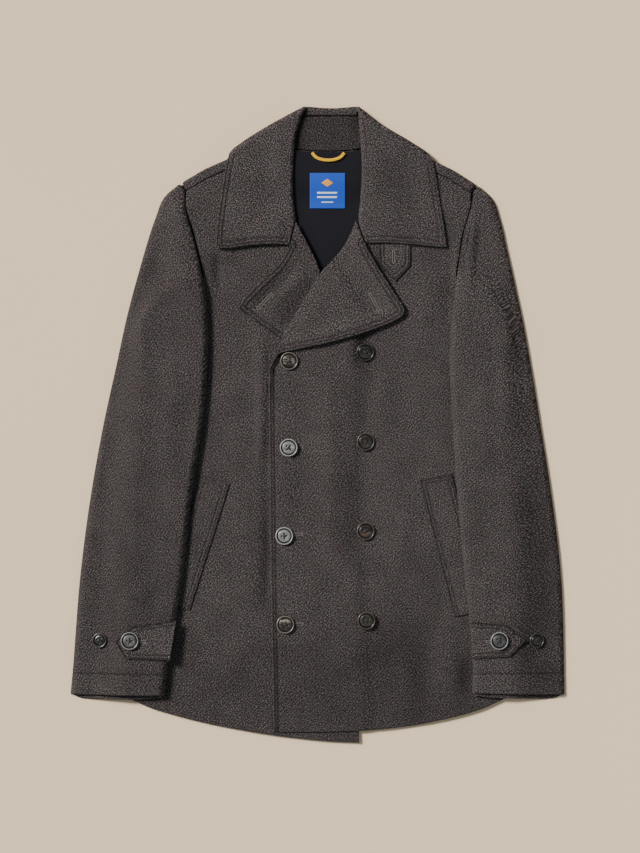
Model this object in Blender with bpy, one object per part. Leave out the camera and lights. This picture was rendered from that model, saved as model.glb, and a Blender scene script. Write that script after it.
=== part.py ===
"""Double-breasted wool pea coat, laid flat on its back.

Every cut piece is a thin closed wall. The body's panels lie on each other from the floor up: the
collar's back part, the back panel, the neck lining, the under front and its lapel, the over front
and its lapel, then the collar's leaves. The sleeves are flattened two-piece tubes that lie beside
the body and over its side seams. "right" and "left" are the wearer's, so the wearer's left is at +X.

Tables are in millimetres. The frame has +Y towards the collar and +Z up from the floor.
"""

import math

import bmesh
import bpy
import numpy as np

MM = 0.001

# Thicknesses and gaps
WOOL = 2.4  # melton wool coating
COLLAR = 3.0  # two layers of coating with canvas between them
LINING = 1.0
LABEL = 0.8
TAB = 2.0  # throat tab and cuff tabs
WELT = 2.0  # pocket welts
SEAM = 0.3  # space between pieces that are sewn to or lie on each other
BODY_HOLLOW = 2.4  # between the back and the fronts
SLEEVE_HOLLOW = 3.0  # between a sleeve's two layers
LINING_RISE = 0.6  # between the back panel and the lining

# Heights of the layers over the back panel's underside
FRONT = WOOL + BODY_HOLLOW
OVER_STEP = WOOL + SEAM  # the over front lies this much higher where the under front is below it
SLEEVE_STEP = FRONT + WOOL + SEAM + WELT + SEAM  # a sleeve's underside over a pocket welt
NECK_STEP = COLLAR + SEAM  # the back panel lies this much higher on the collar's back part
LIP = WOOL + LINING_RISE + LINING + 0.4  # the lower edge of a roll, just over the lining

# Folds
SHOULDER_WRAP = 13.0  # the back panel's share of the shoulder, in front of its fold
SIDE_DROP = 0.045  # share of a front's width over which it comes down to the side seam
EDGE_LIFT = 2.8  # a collar leaf's free edge stands this much off the front
LAPEL_LIFT = 1.5
STAND_SEAM_Y = 401.0  # the seam between the collar's stand and its fall
STAND_SEAM_DOWN = 12.0  # at a neck fold the seam is this far below the fold's end

# Buttons
BUTTON_ACROSS = 23.0
SPARE_ACROSS = 19.0
BUTTON_THICK = 3.6
BUTTON_RIM = 2.2  # width of the raised rim
BUTTON_DISH = 0.9  # depth of the dish inside the rim
HOLE_ACROSS = 2.2
HOLE_SPACING = 4.6
BUTTON_SIDES = 20
HOLE_SIDES = 6


def through(points, at, corners=()):
    """Points of the smooth line through the given ones, at places counted in points."""
    p = np.array(points, float)
    gap = np.linalg.norm(np.diff(p, axis=0), axis=1)
    slope = np.diff(p, axis=0) / gap[:, None]
    last = len(p) - 1
    out = []
    for place in at:
        i = min(int(place), last - 1)
        t = place - i
        start = slope[i]
        end = slope[i]
        if i > 0 and i not in corners:
            start = (gap[i] * slope[i - 1] + gap[i - 1] * slope[i]) / (gap[i] + gap[i - 1])
        if i + 1 < last and i + 1 not in corners:
            end = (gap[i + 1] * slope[i] + gap[i] * slope[i + 1]) / (gap[i] + gap[i + 1])
        bend = t * t * (3 - 2 * t)
        out.append(
            p[i] * (1 - bend)
            + p[i + 1] * bend
            + gap[i] * (start * t * (1 - t) ** 2 - end * t * t * (1 - t))
        )
    return np.array(out)


def along(points, shares, corners=()):
    """Points of the same smooth line at shares of its length."""
    gap = np.linalg.norm(np.diff(np.array(points, float), axis=0), axis=1)
    total = np.concatenate([[0], np.cumsum(gap)]) / gap.sum()
    return through(points, np.interp(shares, total, np.arange(len(points))), corners)


def sheet_plan(cut, rows, cols):
    """Plan of a piece: a grid of x, y filled in between its four edges.

    left and right hold one point for each section, first the lower one, and rows counts sections.
    low and top are the lower and upper edges, from left to right, and cols holds shares of them.
    """
    left = through(cut["left"], rows, cut.get("left_corners", ()))
    right = through(cut["right"], rows, cut.get("right_corners", ()))
    low = along(cut["low"], cols, cut.get("low_corners", ()))
    top = along(cut["top"], cols, cut.get("top_corners", ()))
    u = np.array(cols)[None, :, None]
    v = np.array(rows)[:, None, None] / (len(cut["left"]) - 1)
    straight = left[:, None] * (1 - u) + right[:, None] * u
    low_bow = low[None] - low[0] * (1 - u) - low[-1] * u
    top_bow = top[None] - top[0] * (1 - u) - top[-1] * u
    return straight + low_bow * (1 - v) + top_bow * v


def with_height(plan, height):
    """The plan's points at the height that height(x, y) gives."""
    z = np.array([[height(x, y) for x, y in row] for row in plan])
    return np.concatenate([plan, z[..., None]], axis=2)


def raised(grid, by):
    moved = grid.copy()
    moved[..., 2] += by
    return moved


def finish(name, look):
    """A principled material with the piece's colour."""
    material = bpy.data.materials.new(name + "_finish")
    material.use_nodes = True
    shader = material.node_tree.nodes["Principled BSDF"]
    shader.inputs["Base Color"].default_value = (*look["colour"], 1)
    shader.inputs["Roughness"].default_value = look["roughness"]
    shader.inputs["Metallic"].default_value = 0.0
    return material


def add_object(name, bm, look):
    """The bmesh, in millimetres, as an object in metres with its faces pointing out."""
    bmesh.ops.recalc_face_normals(bm, faces=bm.faces)
    bmesh.ops.scale(bm, vec=(MM, MM, MM), verts=bm.verts)
    mesh = bpy.data.meshes.new(name)
    bm.to_mesh(mesh)
    bm.free()
    mesh.materials.append(finish(name, look))
    made = bpy.data.objects.new(name, mesh)
    bpy.context.scene.collection.objects.link(made)
    return made


def wall(name, under, upper, look, cells=None):
    """Closed wall between two grids of points. cells says which of the grid's cells it fills."""
    rows, cols = under.shape[0] - 1, under.shape[1] - 1
    if cells is None:
        cells = np.ones((rows, cols), bool)
    bm = bmesh.new()
    found = {}

    def vert(side, r, c):
        key = (side, r, c)
        if key not in found:
            found[key] = bm.verts.new((under, upper)[side][r, c])
        return found[key]

    for r in range(rows):
        for c in range(cols):
            if not cells[r, c]:
                continue
            ring = [(r, c), (r, c + 1), (r + 1, c + 1), (r + 1, c)]
            bm.faces.new([vert(1, *k) for k in ring])
            bm.faces.new([vert(0, *k) for k in reversed(ring)])
            beside = [(r - 1, c), (r, c + 1), (r + 1, c), (r, c - 1)]
            for k, (near_r, near_c) in enumerate(beside):
                inside = 0 <= near_r < rows and 0 <= near_c < cols
                if inside and cells[near_r, near_c]:
                    continue
                a, b = ring[k], ring[(k + 1) % 4]
                bm.faces.new([vert(0, *a), vert(0, *b), vert(1, *b), vert(1, *a)])
    bmesh.ops.triangulate(bm, faces=bm.faces)
    return add_object(name, bm, look)


def smooth(x):
    x = min(max(x, 0.0), 1.0)
    return x * x * (3 - 2 * x)


def seam_below(shoulder):
    """The front's edge at a shoulder seam, below the back panel's share of that shoulder."""
    line = np.array(shoulder, float)
    ahead = np.gradient(line, axis=0)
    ahead /= np.linalg.norm(ahead, axis=1)[:, None]
    inward = np.stack([ahead[:, 1], -ahead[:, 0]], axis=1)
    return [tuple(point) for point in line + inward * (SHOULDER_WRAP + 2 * SEAM)]


# --- Looks -------------------------------------------------------------------------------------

BODY_WOOL = {"colour": (0.071, 0.059, 0.056), "roughness": 0.9}
LINING_CLOTH = {"colour": (0.017, 0.018, 0.026), "roughness": 0.6}
LOOP_CORD = {"colour": (0.78, 0.52, 0.04), "roughness": 0.7}
LABEL_CLOTH = {"colour": (0.0, 0.12, 0.5), "roughness": 0.6}
HORN = {"colour": (0.05, 0.035, 0.03), "roughness": 0.3}

# --- Heights -----------------------------------------------------------------------------------

NECK_CENTRE = 15.5
FALL_REACH = 132.0  # half the width of the collar's back part
FALL_LOW = 331.0  # its lower edge at the centre back
FALL_BOW = 14.0  # and how much higher that edge is at the collar's ends
RISE_START = 12.0  # the layers start to come down inside that edge
RISE_RUN = 36.0  # and are down on the floor after this far
CLOSING_X = 55.0  # the under front's free edge, below the closing
CLOSING_TOP = 62.0  # where that edge starts to turn back as the lapel's roll
ROLL_RUN = 135.0  # height over which the roll crosses the front
STEP_END = 52.0  # the over front is down on its own level this far beyond that edge
STEP_RUN = 26.0
LAPEL_STEP = 20.0  # the over lapel stays up this much further


def neck_rise(x, y):
    """How far the body's layers lie over the floor, on the collar's back part and around it."""
    across = abs(x - NECK_CENTRE)
    low_edge = FALL_LOW + FALL_BOW * (across / FALL_REACH) ** 2
    inside = min(y - low_edge, FALL_REACH - across) + RISE_START
    return NECK_STEP * min(max(1 + inside / RISE_RUN, 0.0), 1.0)


def under_edge(y):
    """The x of the under front's free edge, which the over front covers."""
    up = min(max((y - CLOSING_TOP) / ROLL_RUN, 0.0), 1.6)
    return CLOSING_X - (CLOSING_X - 1.0) * up**1.5


def over_rise(x, y, further=0.0):
    """1 where the over front lies on the under front, falling to 0 beyond its edge."""
    return smooth((under_edge(y) + further + STEP_END - x) / STEP_RUN)


def under_front_height(x, y):
    return neck_rise(x, y) + FRONT


def over_front_height(x, y):
    return neck_rise(x, y) + FRONT + OVER_STEP * over_rise(x, y)


# --- Cuts --------------------------------------------------------------------------------------
# left and right: one x, y for each section, from the hem or lower edge up.

SHOULDERS = {
    "right": [(-176, 314.5), (-147, 331.5), (-117, 344.5), (-60, 372)],
    "left": [(88, 374), (148, 344), (178, 329.5), (206.5, 311.5)],
}
BACK_NECK = [(-40, 360), (-15, 355.5), (13, 354.5), (42, 355.5), (70, 360)]

BACK_CUT = {
    "left": [
        (-250, -350), (-238, -200), (-226, 0), (-222, 150),
        (-206, 196), (-192, 250), (-181, 298), (-176, 314.5),
    ],
    "right": [
        (250, -350), (241, -200), (237, 0), (240, 150),
        (226, 196), (215, 250), (209, 294), (206.5, 311.5),
    ],
    "left_corners": (3,),
    "right_corners": (3,),
    "low": [(-250, -350), (-180, -376), (-100, -392), (0, -396), (100, -390), (180, -375), (250, -350)],
    "top": SHOULDERS["right"] + BACK_NECK + SHOULDERS["left"],
    "top_corners": (1, 2, 3, 9, 10, 11),
}

UNDER_FRONT_CUT = {
    "left": [
        (-252, -352), (-240, -200), (-228, 0), (-224, 150), (-190, 169),
        (-147.6, 190), (-154.0, 219), (-163.0, 254), (-170.6, 282), (-170.4, 302.7),
    ],
    "right": [
        (54, -413.3), (55, -200), (55, -40), (54, 62), (47, 108),
        (28, 152), (1, 197), (-27, 246), (-39, 290), (-54.2, 359.6),
    ],
    "left_corners": (3, 5),
    "right_corners": (3,),
    "low": [
        (-252, -352), (-220, -367), (-180, -379), (-140, -389), (-100, -396.7),
        (-40, -406), (31, -412.4), (54, -413.3),
    ],
    "top": seam_below(SHOULDERS["right"]),
    "top_corners": (1, 2),
}

OVER_FRONT_CUT = {
    "left": [
        (-57, -399.5), (-60, -230), (-62, -70), (-63.5, 74), (-50, 94), (-33, 126),
        (-13, 158), (11, 196), (52, 246), (62, 285), (68, 330), (82, 362.1),
    ],
    "right": [
        (252, -352), (243, -200), (239, -20), (241, 110), (242, 150), (212, 172),
        (179.9, 193), (183.1, 216), (188.9, 250), (194.3, 268), (198.5, 284), (199.4, 300.3),
    ],
    "left_corners": (3,),
    "right_corners": (4, 6),
    "low": [
        (-57, -399.5), (0, -399.5), (54, -398), (102, -394), (138, -388.6),
        (173, -381), (209, -371), (252, -352),
    ],
    "top": seam_below(SHOULDERS["left"]),
    "top_corners": (1, 2),
}

UNDER_LAPEL_CUT = {
    "left": [(-104, 151), (-97, 161), (-86, 173), (-70, 189), (-54, 204), (-44, 217), (-35.5, 232)],
    "right": [(-44, 106), (-34.5, 126), (-15, 158), (5.5, 192), (-0.5, 209), (-11, 231), (-28, 263)],
    "right_corners": (3,),
    "low": [(-104, 151), (-94, 143), (-76, 129), (-61.5, 119), (-44, 106)],
    "top": [(-35.5, 232), (-28, 263)],
}

OVER_LAPEL_CUT = {
    "left": [(-60, 76), (-50, 103), (-35, 132), (-14, 167), (4.7, 197), (27.6, 222), (44, 250), (50, 266)],
    "right": [(110, 140), (113, 147), (104, 164), (90, 186), (78, 205), (69, 221), (64.5, 229), (61.6, 235)],
    "low": [
        (-60, 76), (-56, 86), (-47, 92.6), (-30, 96.6), (11, 105.3),
        (58, 118.5), (100, 134.5), (110, 140),
    ],
    "top": [(50, 266), (53.4, 256), (61.6, 235)],
}

LINING_CUT = {
    "left": [(-12, 178), (-34, 228), (-48, 280), (-54, 325), (-45, 360)],
    "right": [(22, 178), (52, 228), (74, 280), (80, 325), (74, 360)],
    "low": [(-12, 178), (22, 178)],
    "top": [(-45, 360), (-15, 354.6), (13, 353.6), (42, 354.6), (74, 360)],
}

STAND_CUT = {
    "left": [(-40, 361), (-36, 378), (-21, 399.6)],
    "right": [(70, 361), (67, 378), (55, 399.6)],
    "low": [(-40, 361), (-15, 356.3), (13, 355.2), (42, 356.3), (70, 361)],
    "top": [(-21, 399.6), (17, 400.2), (55, 399.6)],
}

# The collar's fall is one band: a leaf on each front, folded at each side of the neck, and a back
# part that lies on the floor. Each leaf's left edge is its roll, from the notch up.
RIGHT_LEAF_CUT = {
    "left": [(-36.3, 233), (-28.5, 262), (-31, 290), (-31.5, 320), (-30, 356), (-27, 380), (-16, 413.3)],
    "right": [(-132.5, 229.5), (-130.5, 256), (-127, 284), (-123.5, 307), (-120.5, 327), (-118, 340), (-115.5, 350.5)],
    "low": [(-36.3, 233), (-60, 234), (-94, 231.6), (-118, 228.4), (-132.5, 229.5)],
    "top": [(-16, 413.3), (-59, 390), (-100, 364.6), (-110, 357.5), (-115.5, 350.5)],
}

LEFT_LEAF_CUT = {
    "left": [(62.2, 235.4), (53.4, 262), (55.2, 292), (57, 322), (56.5, 356), (54.5, 380), (52.5, 413.3)],
    "right": [(167.5, 230), (164.5, 256), (160, 284), (156.5, 307), (153, 327), (150, 340), (146.5, 350)],
    "low": [(62.2, 235.4), (81.5, 235.6), (124, 233.5), (150, 230.8), (167.5, 230)],
    "top": [(52.5, 413.3), (81.5, 391), (124, 365), (140, 355), (146.5, 350)],
}

FALL_BACK_CUT = {
    "left": [(-16, 413.3), (-59, 390), (-100, 364.6), (-115.5, 350.5)],
    "right": [(52.5, 413.3), (81.5, 391), (124, 365), (146.5, 350)],
    "low": [(-16, 413.3), (18, 411), (52.5, 413.3)],
    "top": [(-115.5, 350.5), (-60, 336), (15, 331), (90, 336), (146.5, 350)],
}

# Sleeve sections from the cuff up. lift is the upper layer's underside at the inner edge, and
# free is 1 where that edge is a loose fold over the body and 0 where it is sewn to the front.
SLEEVE_LIFT = SLEEVE_STEP + WOOL + SLEEVE_HOLLOW
SLEEVE_COLUMNS = ("outer_x", "outer_y", "inner_x", "inner_y", "body_x", "lift", "free")
RIGHT_SLEEVE = [
    (-321.3, -350.5, -198.5, -351.5, -252.0, SLEEVE_LIFT, 1),
    (-318.5, -320.0, -195.0, -322.0, -249.5, SLEEVE_LIFT, 1),
    (-309.0, -200.0, -176.0, -210.0, -240.0, SLEEVE_LIFT, 1),
    (-293.0, -80.0, -161.5, -80.0, -232.5, SLEEVE_LIFT, 1),
    (-278.5, 0.0, -149.0, 0.0, -228.0, SLEEVE_LIFT, 1),
    (-261.0, 80.0, -142.3, 85.0, -225.5, SLEEVE_LIFT, 1),
    (-248.0, 140.0, -142.6, 142.0, -224.0, SLEEVE_LIFT, 1),
    (-239.0, 175.0, -145.0, 168.0, -196.0, SLEEVE_LIFT - 1.0, 1),
    (-232.0, 200.0, -148.5, 190.0, -172.0, FRONT + WOOL + 1.0, 1),
    (-224.0, 228.0, -154.9, 219.0, -165.0, FRONT, 0),
    (-212.0, 265.0, -164.0, 254.0, -176.0, FRONT, 0),
    (-199.0, 295.0, -171.5, 282.0, -180.0, FRONT, 0),
    (-179.0, 312.0, -172.0, 303.6, -174.0, FRONT, 0),
]
LEFT_SLEEVE = [
    (321.3, -351.0, 200.0, -348.5, 252.0, SLEEVE_LIFT, 1),
    (320.8, -320.0, 201.0, -320.0, 250.5, SLEEVE_LIFT, 1),
    (317.0, -200.0, 191.5, -205.0, 243.0, SLEEVE_LIFT, 1),
    (302.6, -80.0, 180.0, -80.0, 240.0, SLEEVE_LIFT, 1),
    (290.0, 0.0, 175.0, 0.0, 239.0, SLEEVE_LIFT, 1),
    (277.0, 80.0, 171.3, 80.0, 240.0, SLEEVE_LIFT, 1),
    (266.0, 140.0, 174.0, 140.0, 242.0, SLEEVE_LIFT, 1),
    (259.0, 172.0, 177.5, 168.0, 216.0, SLEEVE_LIFT - 1.0, 1),
    (253.0, 200.0, 180.8, 193.0, 198.0, FRONT + WOOL + 1.0, 1),
    (247.0, 226.0, 184.0, 216.0, 194.0, FRONT, 0),
    (238.0, 265.0, 191.0, 254.0, 203.0, FRONT, 0),
    (227.0, 293.0, 199.5, 284.0, 209.0, FRONT, 0),
    (210.0, 308.5, 203.0, 303.6, 205.0, FRONT, 0),
]
SLOPE = 45.0  # width over which a sleeve rises from the floor onto the body
NARROW = 45.0  # a section under this width has its edges' folds scaled down
CUFF_BACK_DROP = 5.0  # a cuff's under layer shows this far below its upper one
UNDER_TOP = 6  # the section where the part of the under layer that lies over the body ends
STRIP_TOP = 11  # and the one where its outer strip ends, at the back of the sleeve head

TABS = {
    # corner points in order, on the sleeve's upper layer: inner end top, outer top, tip, outer low
    "right": [(-182.5, -253), (-240, -262), (-262, -281), (-248, -304), (-191, -306)],
    "left": [(198.5, -256), (244, -259), (270, -280), (249.5, -301.5), (201.5, -304)],
}

WELTS = {
    "right": [(-149, -64), (-114, -77), (-166, -242), (-201, -229)],
    "left": [(133, -72), (174.6, -64), (220, -242), (178, -250)],
}

THROAT_TAB = [(80, 243), (81, 207), (101, 185), (121, 206), (121, 243)]

FRONT_BUTTONS = {
    "right": [(-37.0, 82.6), (-37.3, -30.0), (-43.0, -144.6), (-41.8, -259.5)],
    "left": [(61.5, 94.0), (62.3, -22.3), (62.3, -138.3), (63.4, -254.5)],
}

CUFF_BUTTON_Y = -280.0

LOOP_ROUTE = [(-7, 352.5), (-2, 347), (6, 343.8), (14, 343), (22, 343.8), (30, 347), (35, 352.5)]
LOOP_WIDE = 4.6
LOOP_HIGH = 3.0

LABEL_BOX = (-10.0, 280.5, 36.0, 326.5)


# --- Body --------------------------------------------------------------------------------------


def make_back():
    """The back panel. Its shoulders fold over the top and end in the shoulder seams."""
    rows = [0, 1, 2, 3, 4, 5, 5.5, 6, 6.4, 7]
    lengths = np.linalg.norm(np.diff(np.array(BACK_CUT["top"], float), axis=0), axis=1)
    place = np.concatenate([[0], np.cumsum(lengths)]) / lengths.sum()
    neck_from, neck_to = place[3], place[9]
    cols = sorted({*place[[0, 1, 2, 3, 4, 6, 8, 9, 10, 11, 12]], (place[2] + place[3]) / 2,
                   (place[9] + place[10]) / 2, (place[4] + place[6]) / 2, (place[6] + place[8]) / 2})
    plan = sheet_plan(BACK_CUT, rows, cols)
    under = with_height(plan, neck_rise)
    upper = raised(under, WOOL)
    # Stations of the fold: inset and height of its outer and inner faces.
    fold = [
        (1.5, 0.0, 3.4, WOOL),
        (0.0, 0.45 * (FRONT + WOOL), WOOL, 0.5 * (FRONT + WOOL)),
        (1.5, FRONT + WOOL, 3.4, FRONT),
        (SHOULDER_WRAP, FRONT + WOOL, SHOULDER_WRAP, FRONT),
    ]
    edge = plan[-1]
    ahead = np.gradient(edge, axis=0)
    ahead /= np.linalg.norm(ahead, axis=1)[:, None]
    inward = np.stack([ahead[:, 1], -ahead[:, 0]], axis=1)
    lift = under[-1, :, 2]
    low_rows, high_rows = [], []
    for out_in, out_z, in_in, in_z in fold:
        low_rows.append(np.column_stack([edge + inward * out_in, lift + out_z]))
        high_rows.append(np.column_stack([edge + inward * in_in, lift + in_z]))
    neck = (np.array(cols) >= neck_from - 1e-6) & (np.array(cols) <= neck_to + 1e-6)
    shoulder_cells = ~(neck[:-1] & neck[1:])
    # Where there is a fold, the last flat row stays clear of it.
    for c in range(len(cols)):
        if not (neck[c] and neck[max(c - 1, 0)] and neck[min(c + 1, len(cols) - 1)]):
            under[-1, c, :2] += inward[c] * 5.0
            upper[-1, c, :2] += inward[c] * 5.0
    under = np.concatenate([under, low_rows])
    upper = np.concatenate([upper, high_rows])
    cells = np.ones((len(under) - 1, len(cols) - 1), bool)
    cells[len(rows) - 1 :] = shoulder_cells
    return wall("back", under, upper, BODY_WOOL, cells)


def make_front(name, cut, height, rows, cols, side_at_left):
    """A front panel, which comes down to the back at its side seam."""
    plan = sheet_plan(cut, rows, cols)
    under = with_height(plan, height)
    armpit = 3 if side_at_left else 4
    side = 0 if side_at_left else -1
    for r, row in enumerate(rows):
        if row <= armpit:
            under[r, side, 2] = WOOL + SEAM
    return wall(name, under, raised(under, WOOL), BODY_WOOL)


def make_lapels():
    rows = [0, 1, 2, 3, 4, 5, 6]
    plan = sheet_plan(UNDER_LAPEL_CUT, rows, [0, 0.3, 0.65, 1])
    rise = WOOL + SEAM
    under = with_height(plan, lambda x, y: under_front_height(x, y) + rise)
    for r in range(len(rows)):
        under[r, 0, 2] += LAPEL_LIFT
        under[r, 1, 2] += 0.4 * LAPEL_LIFT
    wall("lapel_right", under, raised(under, WOOL), BODY_WOOL)

    def height(x, y):
        return neck_rise(x, y) + FRONT + OVER_STEP * over_rise(x, y, LAPEL_STEP) + rise

    rows = [0, 1, 2, 3, 4, 5, 6, 7]
    plan = sheet_plan(OVER_LAPEL_CUT, rows, [0, 0.057, 0.117, 0.207, 0.45, 0.72, 1])
    under = with_height(plan, height)
    for r in range(len(rows)):
        under[r, -1, 2] += LAPEL_LIFT
        under[r, -2, 2] += 0.35 * LAPEL_LIFT
    wall("lapel_left", under, raised(under, WOOL), BODY_WOOL)


def make_collar():
    """The fall: leaf, neck fold, back part, neck fold, leaf, all one band, and the stand in it."""
    across = [0, 0.09, 0.3, 0.55, 0.8, 1]
    free_share = np.array([0.3, 0.9, 1, 1, 1, 1])  # share of the free edge's lift at each of those
    lip_thick = 0.7 * COLLAR

    def leaf(cut):
        rows = [0, 1, 2, 3, 4, 5, 5.75]
        plan = sheet_plan(cut, rows, across)
        under = with_height(plan, lambda x, y: neck_rise(x, y) + FRONT + WOOL + SEAM)
        for r, row in enumerate(rows):
            lift = EDGE_LIFT * (1 - smooth(row / 4))
            under[r, :, 2] += lift * free_share
        upper = raised(under, COLLAR)
        low = [neck_rise(x, y) + LIP for x, y in plan[:, 0]]
        low[0] = upper[0, 0, 2] - lip_thick
        low[1] = upper[1, 0, 2] - lip_thick
        into = plan[:, 1] - plan[:, 0]
        into /= np.linalg.norm(into, axis=1)[:, None]
        lip_under = np.column_stack([plan[:, 0] + into * COLLAR, low])
        lip_upper = np.column_stack([plan[:, 0], low])
        under[:, 0, :2] = plan[:, 0] + into * COLLAR
        under[:, 0, 2] -= 0.8
        upper[:, 0, 2] -= 0.35 * COLLAR
        return (
            np.concatenate([lip_under[:, None], under], axis=1),
            np.concatenate([lip_upper[:, None], upper], axis=1),
        )

    top_z = NECK_STEP + FRONT + WOOL + SEAM + COLLAR

    def fold(cut, toward):
        """The three stations of a neck fold, on the line where the band turns under."""
        line = sheet_plan(cut, [6], across)[0]
        out_dir = np.gradient(line, axis=0)
        out_dir /= np.linalg.norm(out_dir, axis=1)[:, None]
        inward = np.stack([-out_dir[:, 1], out_dir[:, 0]], axis=1) * toward
        mid = top_z / 2
        under = np.column_stack([line + inward * COLLAR, np.full(len(line), mid)])
        upper = np.column_stack([line, np.full(len(line), mid)])
        seam = line[0] + np.array([-COLLAR * toward, -STAND_SEAM_DOWN])
        lip_under = np.array([*(seam + inward[0] * 2.0), NECK_STEP + 1.2])
        lip_upper = np.array([*seam, NECK_STEP + COLLAR + 0.6])
        return (
            np.concatenate([lip_under[None], under])[None],
            np.concatenate([lip_upper[None], upper])[None],
        )

    right_under, right_upper = leaf(RIGHT_LEAF_CUT)
    left_under, left_upper = leaf(LEFT_LEAF_CUT)
    fold_r_under, fold_r_upper = fold(RIGHT_LEAF_CUT, 1)
    fold_l_under, fold_l_upper = fold(LEFT_LEAF_CUT, -1)

    stations = [0.06, 0.25, 0.5, 0.75, 0.94]
    depth = np.array(across) * (len(FALL_BACK_CUT["left"]) - 1)
    plan = sheet_plan(FALL_BACK_CUT, depth, stations)
    plan = np.swapaxes(plan, 0, 1)
    flat = np.concatenate([plan, np.zeros((*plan.shape[:2], 1))], axis=2)
    back_upper = flat.copy()  # the face of the cloth, which lies on the floor
    back_under = raised(flat, COLLAR)
    back_under[:, 0, 1] -= 0.7 * COLLAR  # the top fold's inner face
    back_upper[:, 0, 2] += 0.5 * COLLAR
    back_under[:, 0, 2] += SEAM / 2
    seam = plan[:, 0] * np.array([1, 0]) + np.array([0, STAND_SEAM_Y])
    lip_upper = np.column_stack([seam, np.full(len(seam), NECK_STEP + COLLAR)])
    lip_under = np.column_stack([seam, np.full(len(seam), NECK_STEP)])
    back_under = np.concatenate([lip_under[:, None], back_under], axis=1)
    back_upper = np.concatenate([lip_upper[:, None], back_upper], axis=1)

    under = np.concatenate(
        [right_under, fold_r_under, back_under, fold_l_under, left_under[::-1]]
    )
    upper = np.concatenate(
        [right_upper, fold_r_upper, back_upper, fold_l_upper, left_upper[::-1]]
    )
    wall("collar_fall", under, upper, BODY_WOOL)

    plan = sheet_plan(STAND_CUT, [0, 1, 2], [0, 0.2, 0.5, 0.8, 1])
    stand = with_height(plan, lambda x, y: NECK_STEP)
    wall("collar_stand", stand, raised(stand, WOOL), BODY_WOOL)


def make_lining():
    rows = [0, 0.5, 1, 1.5, 2, 2.25, 2.5, 2.75, 3, 3.5, 4]
    plan = sheet_plan(LINING_CUT, rows, [0, 0.25, 0.5, 0.75, 1])

    def height(x, y):
        return neck_rise(x, y) + WOOL + LINING_RISE

    under = with_height(plan, height)
    wall("back_lining", under, raised(under, LINING), LINING_CLOTH)

    x0, y0, x1, y1 = LABEL_BOX
    xs = np.linspace(x0, x1, 4)
    ys = np.linspace(y0, y1, 6)
    plan = np.array([[(x, y) for x in xs] for y in ys])
    under = with_height(plan, lambda x, y: height(x, y) + LINING + SEAM)
    wall("label", under, raised(under, LABEL), LABEL_CLOTH)


def make_loop():
    """The hanger loop, a flat cord whose ends go into the neck seam."""
    route = through(LOOP_ROUTE, np.linspace(0, len(LOOP_ROUTE) - 1, 13))
    ahead = np.gradient(route, axis=0)
    ahead /= np.linalg.norm(ahead, axis=1)[:, None]
    side = np.stack([-ahead[:, 1], ahead[:, 0]], axis=1) * LOOP_WIDE / 2
    low = NECK_STEP + WOOL + LINING_RISE + LINING + SEAM
    bm = bmesh.new()
    rings = []
    profile = [(-0.55, 0), (0.55, 0), (1, 0.5), (0.55, 1), (-0.55, 1), (-1, 0.5)]
    for point, out in zip(route, side):
        ring = []
        for across, up in profile:
            x, y = point + out * across
            ring.append(bm.verts.new((x, y, low + LOOP_HIGH * up)))
        rings.append(ring)
    for a, b in zip(rings, rings[1:]):
        bmesh.ops.bridge_loops(bm, edges=loop_edges(bm, a) + loop_edges(bm, b))
    bm.faces.new(rings[0])
    bm.faces.new(rings[-1])
    bmesh.ops.triangulate(bm, faces=bm.faces)
    made = add_object("hanger_loop", bm, LOOP_CORD)
    made.data.shade_smooth()


def loop_edges(bm, ring):
    edges = []
    for i, vert in enumerate(ring):
        other = ring[(i + 1) % len(ring)]
        edge = bm.edges.get((vert, other))
        edges.append(edge or bm.edges.new((vert, other)))
    return edges


# --- Sleeves -----------------------------------------------------------------------------------


def sleeve_rows(table):
    return [dict(zip(SLEEVE_COLUMNS, row)) for row in table]


def sleeve_axis(row):
    """Places across a section, from its outer edge inwards: (point at a distance, width)."""
    outer = np.array([row["outer_x"], row["outer_y"]])
    inner = np.array([row["inner_x"], row["inner_y"]])
    width = np.linalg.norm(inner - outer)
    ahead = (inner - outer) / width

    def at(distance):
        return outer + ahead * distance

    return at, width


def sleeve_slope(row, width):
    """Where a section starts to rise over the body's edge, and where it is up."""
    edge = abs(row["outer_x"] - row["body_x"])
    foot = min(max(edge - SLOPE, 0.2 * width if width < NARROW else 6.0), 0.35 * width)
    top = min(max(edge + 3.0, foot + 0.1 * width), 0.8 * width)
    return foot, top


def make_upper_sleeve(name, table):
    """The visible layer. It wraps the outer edge down to the floor, and the loose inner edge."""
    upper, under = [], []
    outer_top = WOOL + SLEEVE_HOLLOW  # underside of this layer where the sleeve lies on the floor
    for row in sleeve_rows(table):
        at, width = sleeve_axis(row)
        foot, top = sleeve_slope(row, width)
        lift = row["lift"]
        narrow = min(width / NARROW, 1.0)
        stations = [
            (0.0, 0.0, WOOL * narrow, 0.0),
            (0.0, outer_top - 1.0, WOOL * narrow, outer_top - 1.6),
            (3.4 * narrow, outer_top + WOOL, 5.0 * narrow, outer_top),
            (foot, outer_top + WOOL, foot, outer_top),
            (top, lift + WOOL, top, lift),
        ]
        mid = (top + width) / 2
        stations.append((mid, lift + WOOL, mid, lift))
        if row["free"]:
            low = min(SLEEVE_STEP, lift - 0.5)
            stations += [
                (width - 4.0, lift + WOOL, width - 5.6, lift),
                (width, lift, width - WOOL, lift - 0.8 if lift > SLEEVE_STEP + 2 else lift - 0.2),
                (width, low, width - WOOL, low),
            ]
        else:
            stations += [
                (width - 5.0 * narrow, lift + WOOL, width - 5.0 * narrow, lift),
                (width - 2.5 * narrow, lift + WOOL, width - 2.5 * narrow, lift),
                (width, lift + WOOL, width, lift),
            ]
        upper.append([(*at(d), z) for d, z, _, _ in stations])
        under.append([(*at(d), z) for _, _, d, z in stations])
    wall(name, np.array(under), np.array(upper), BODY_WOOL)


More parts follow.
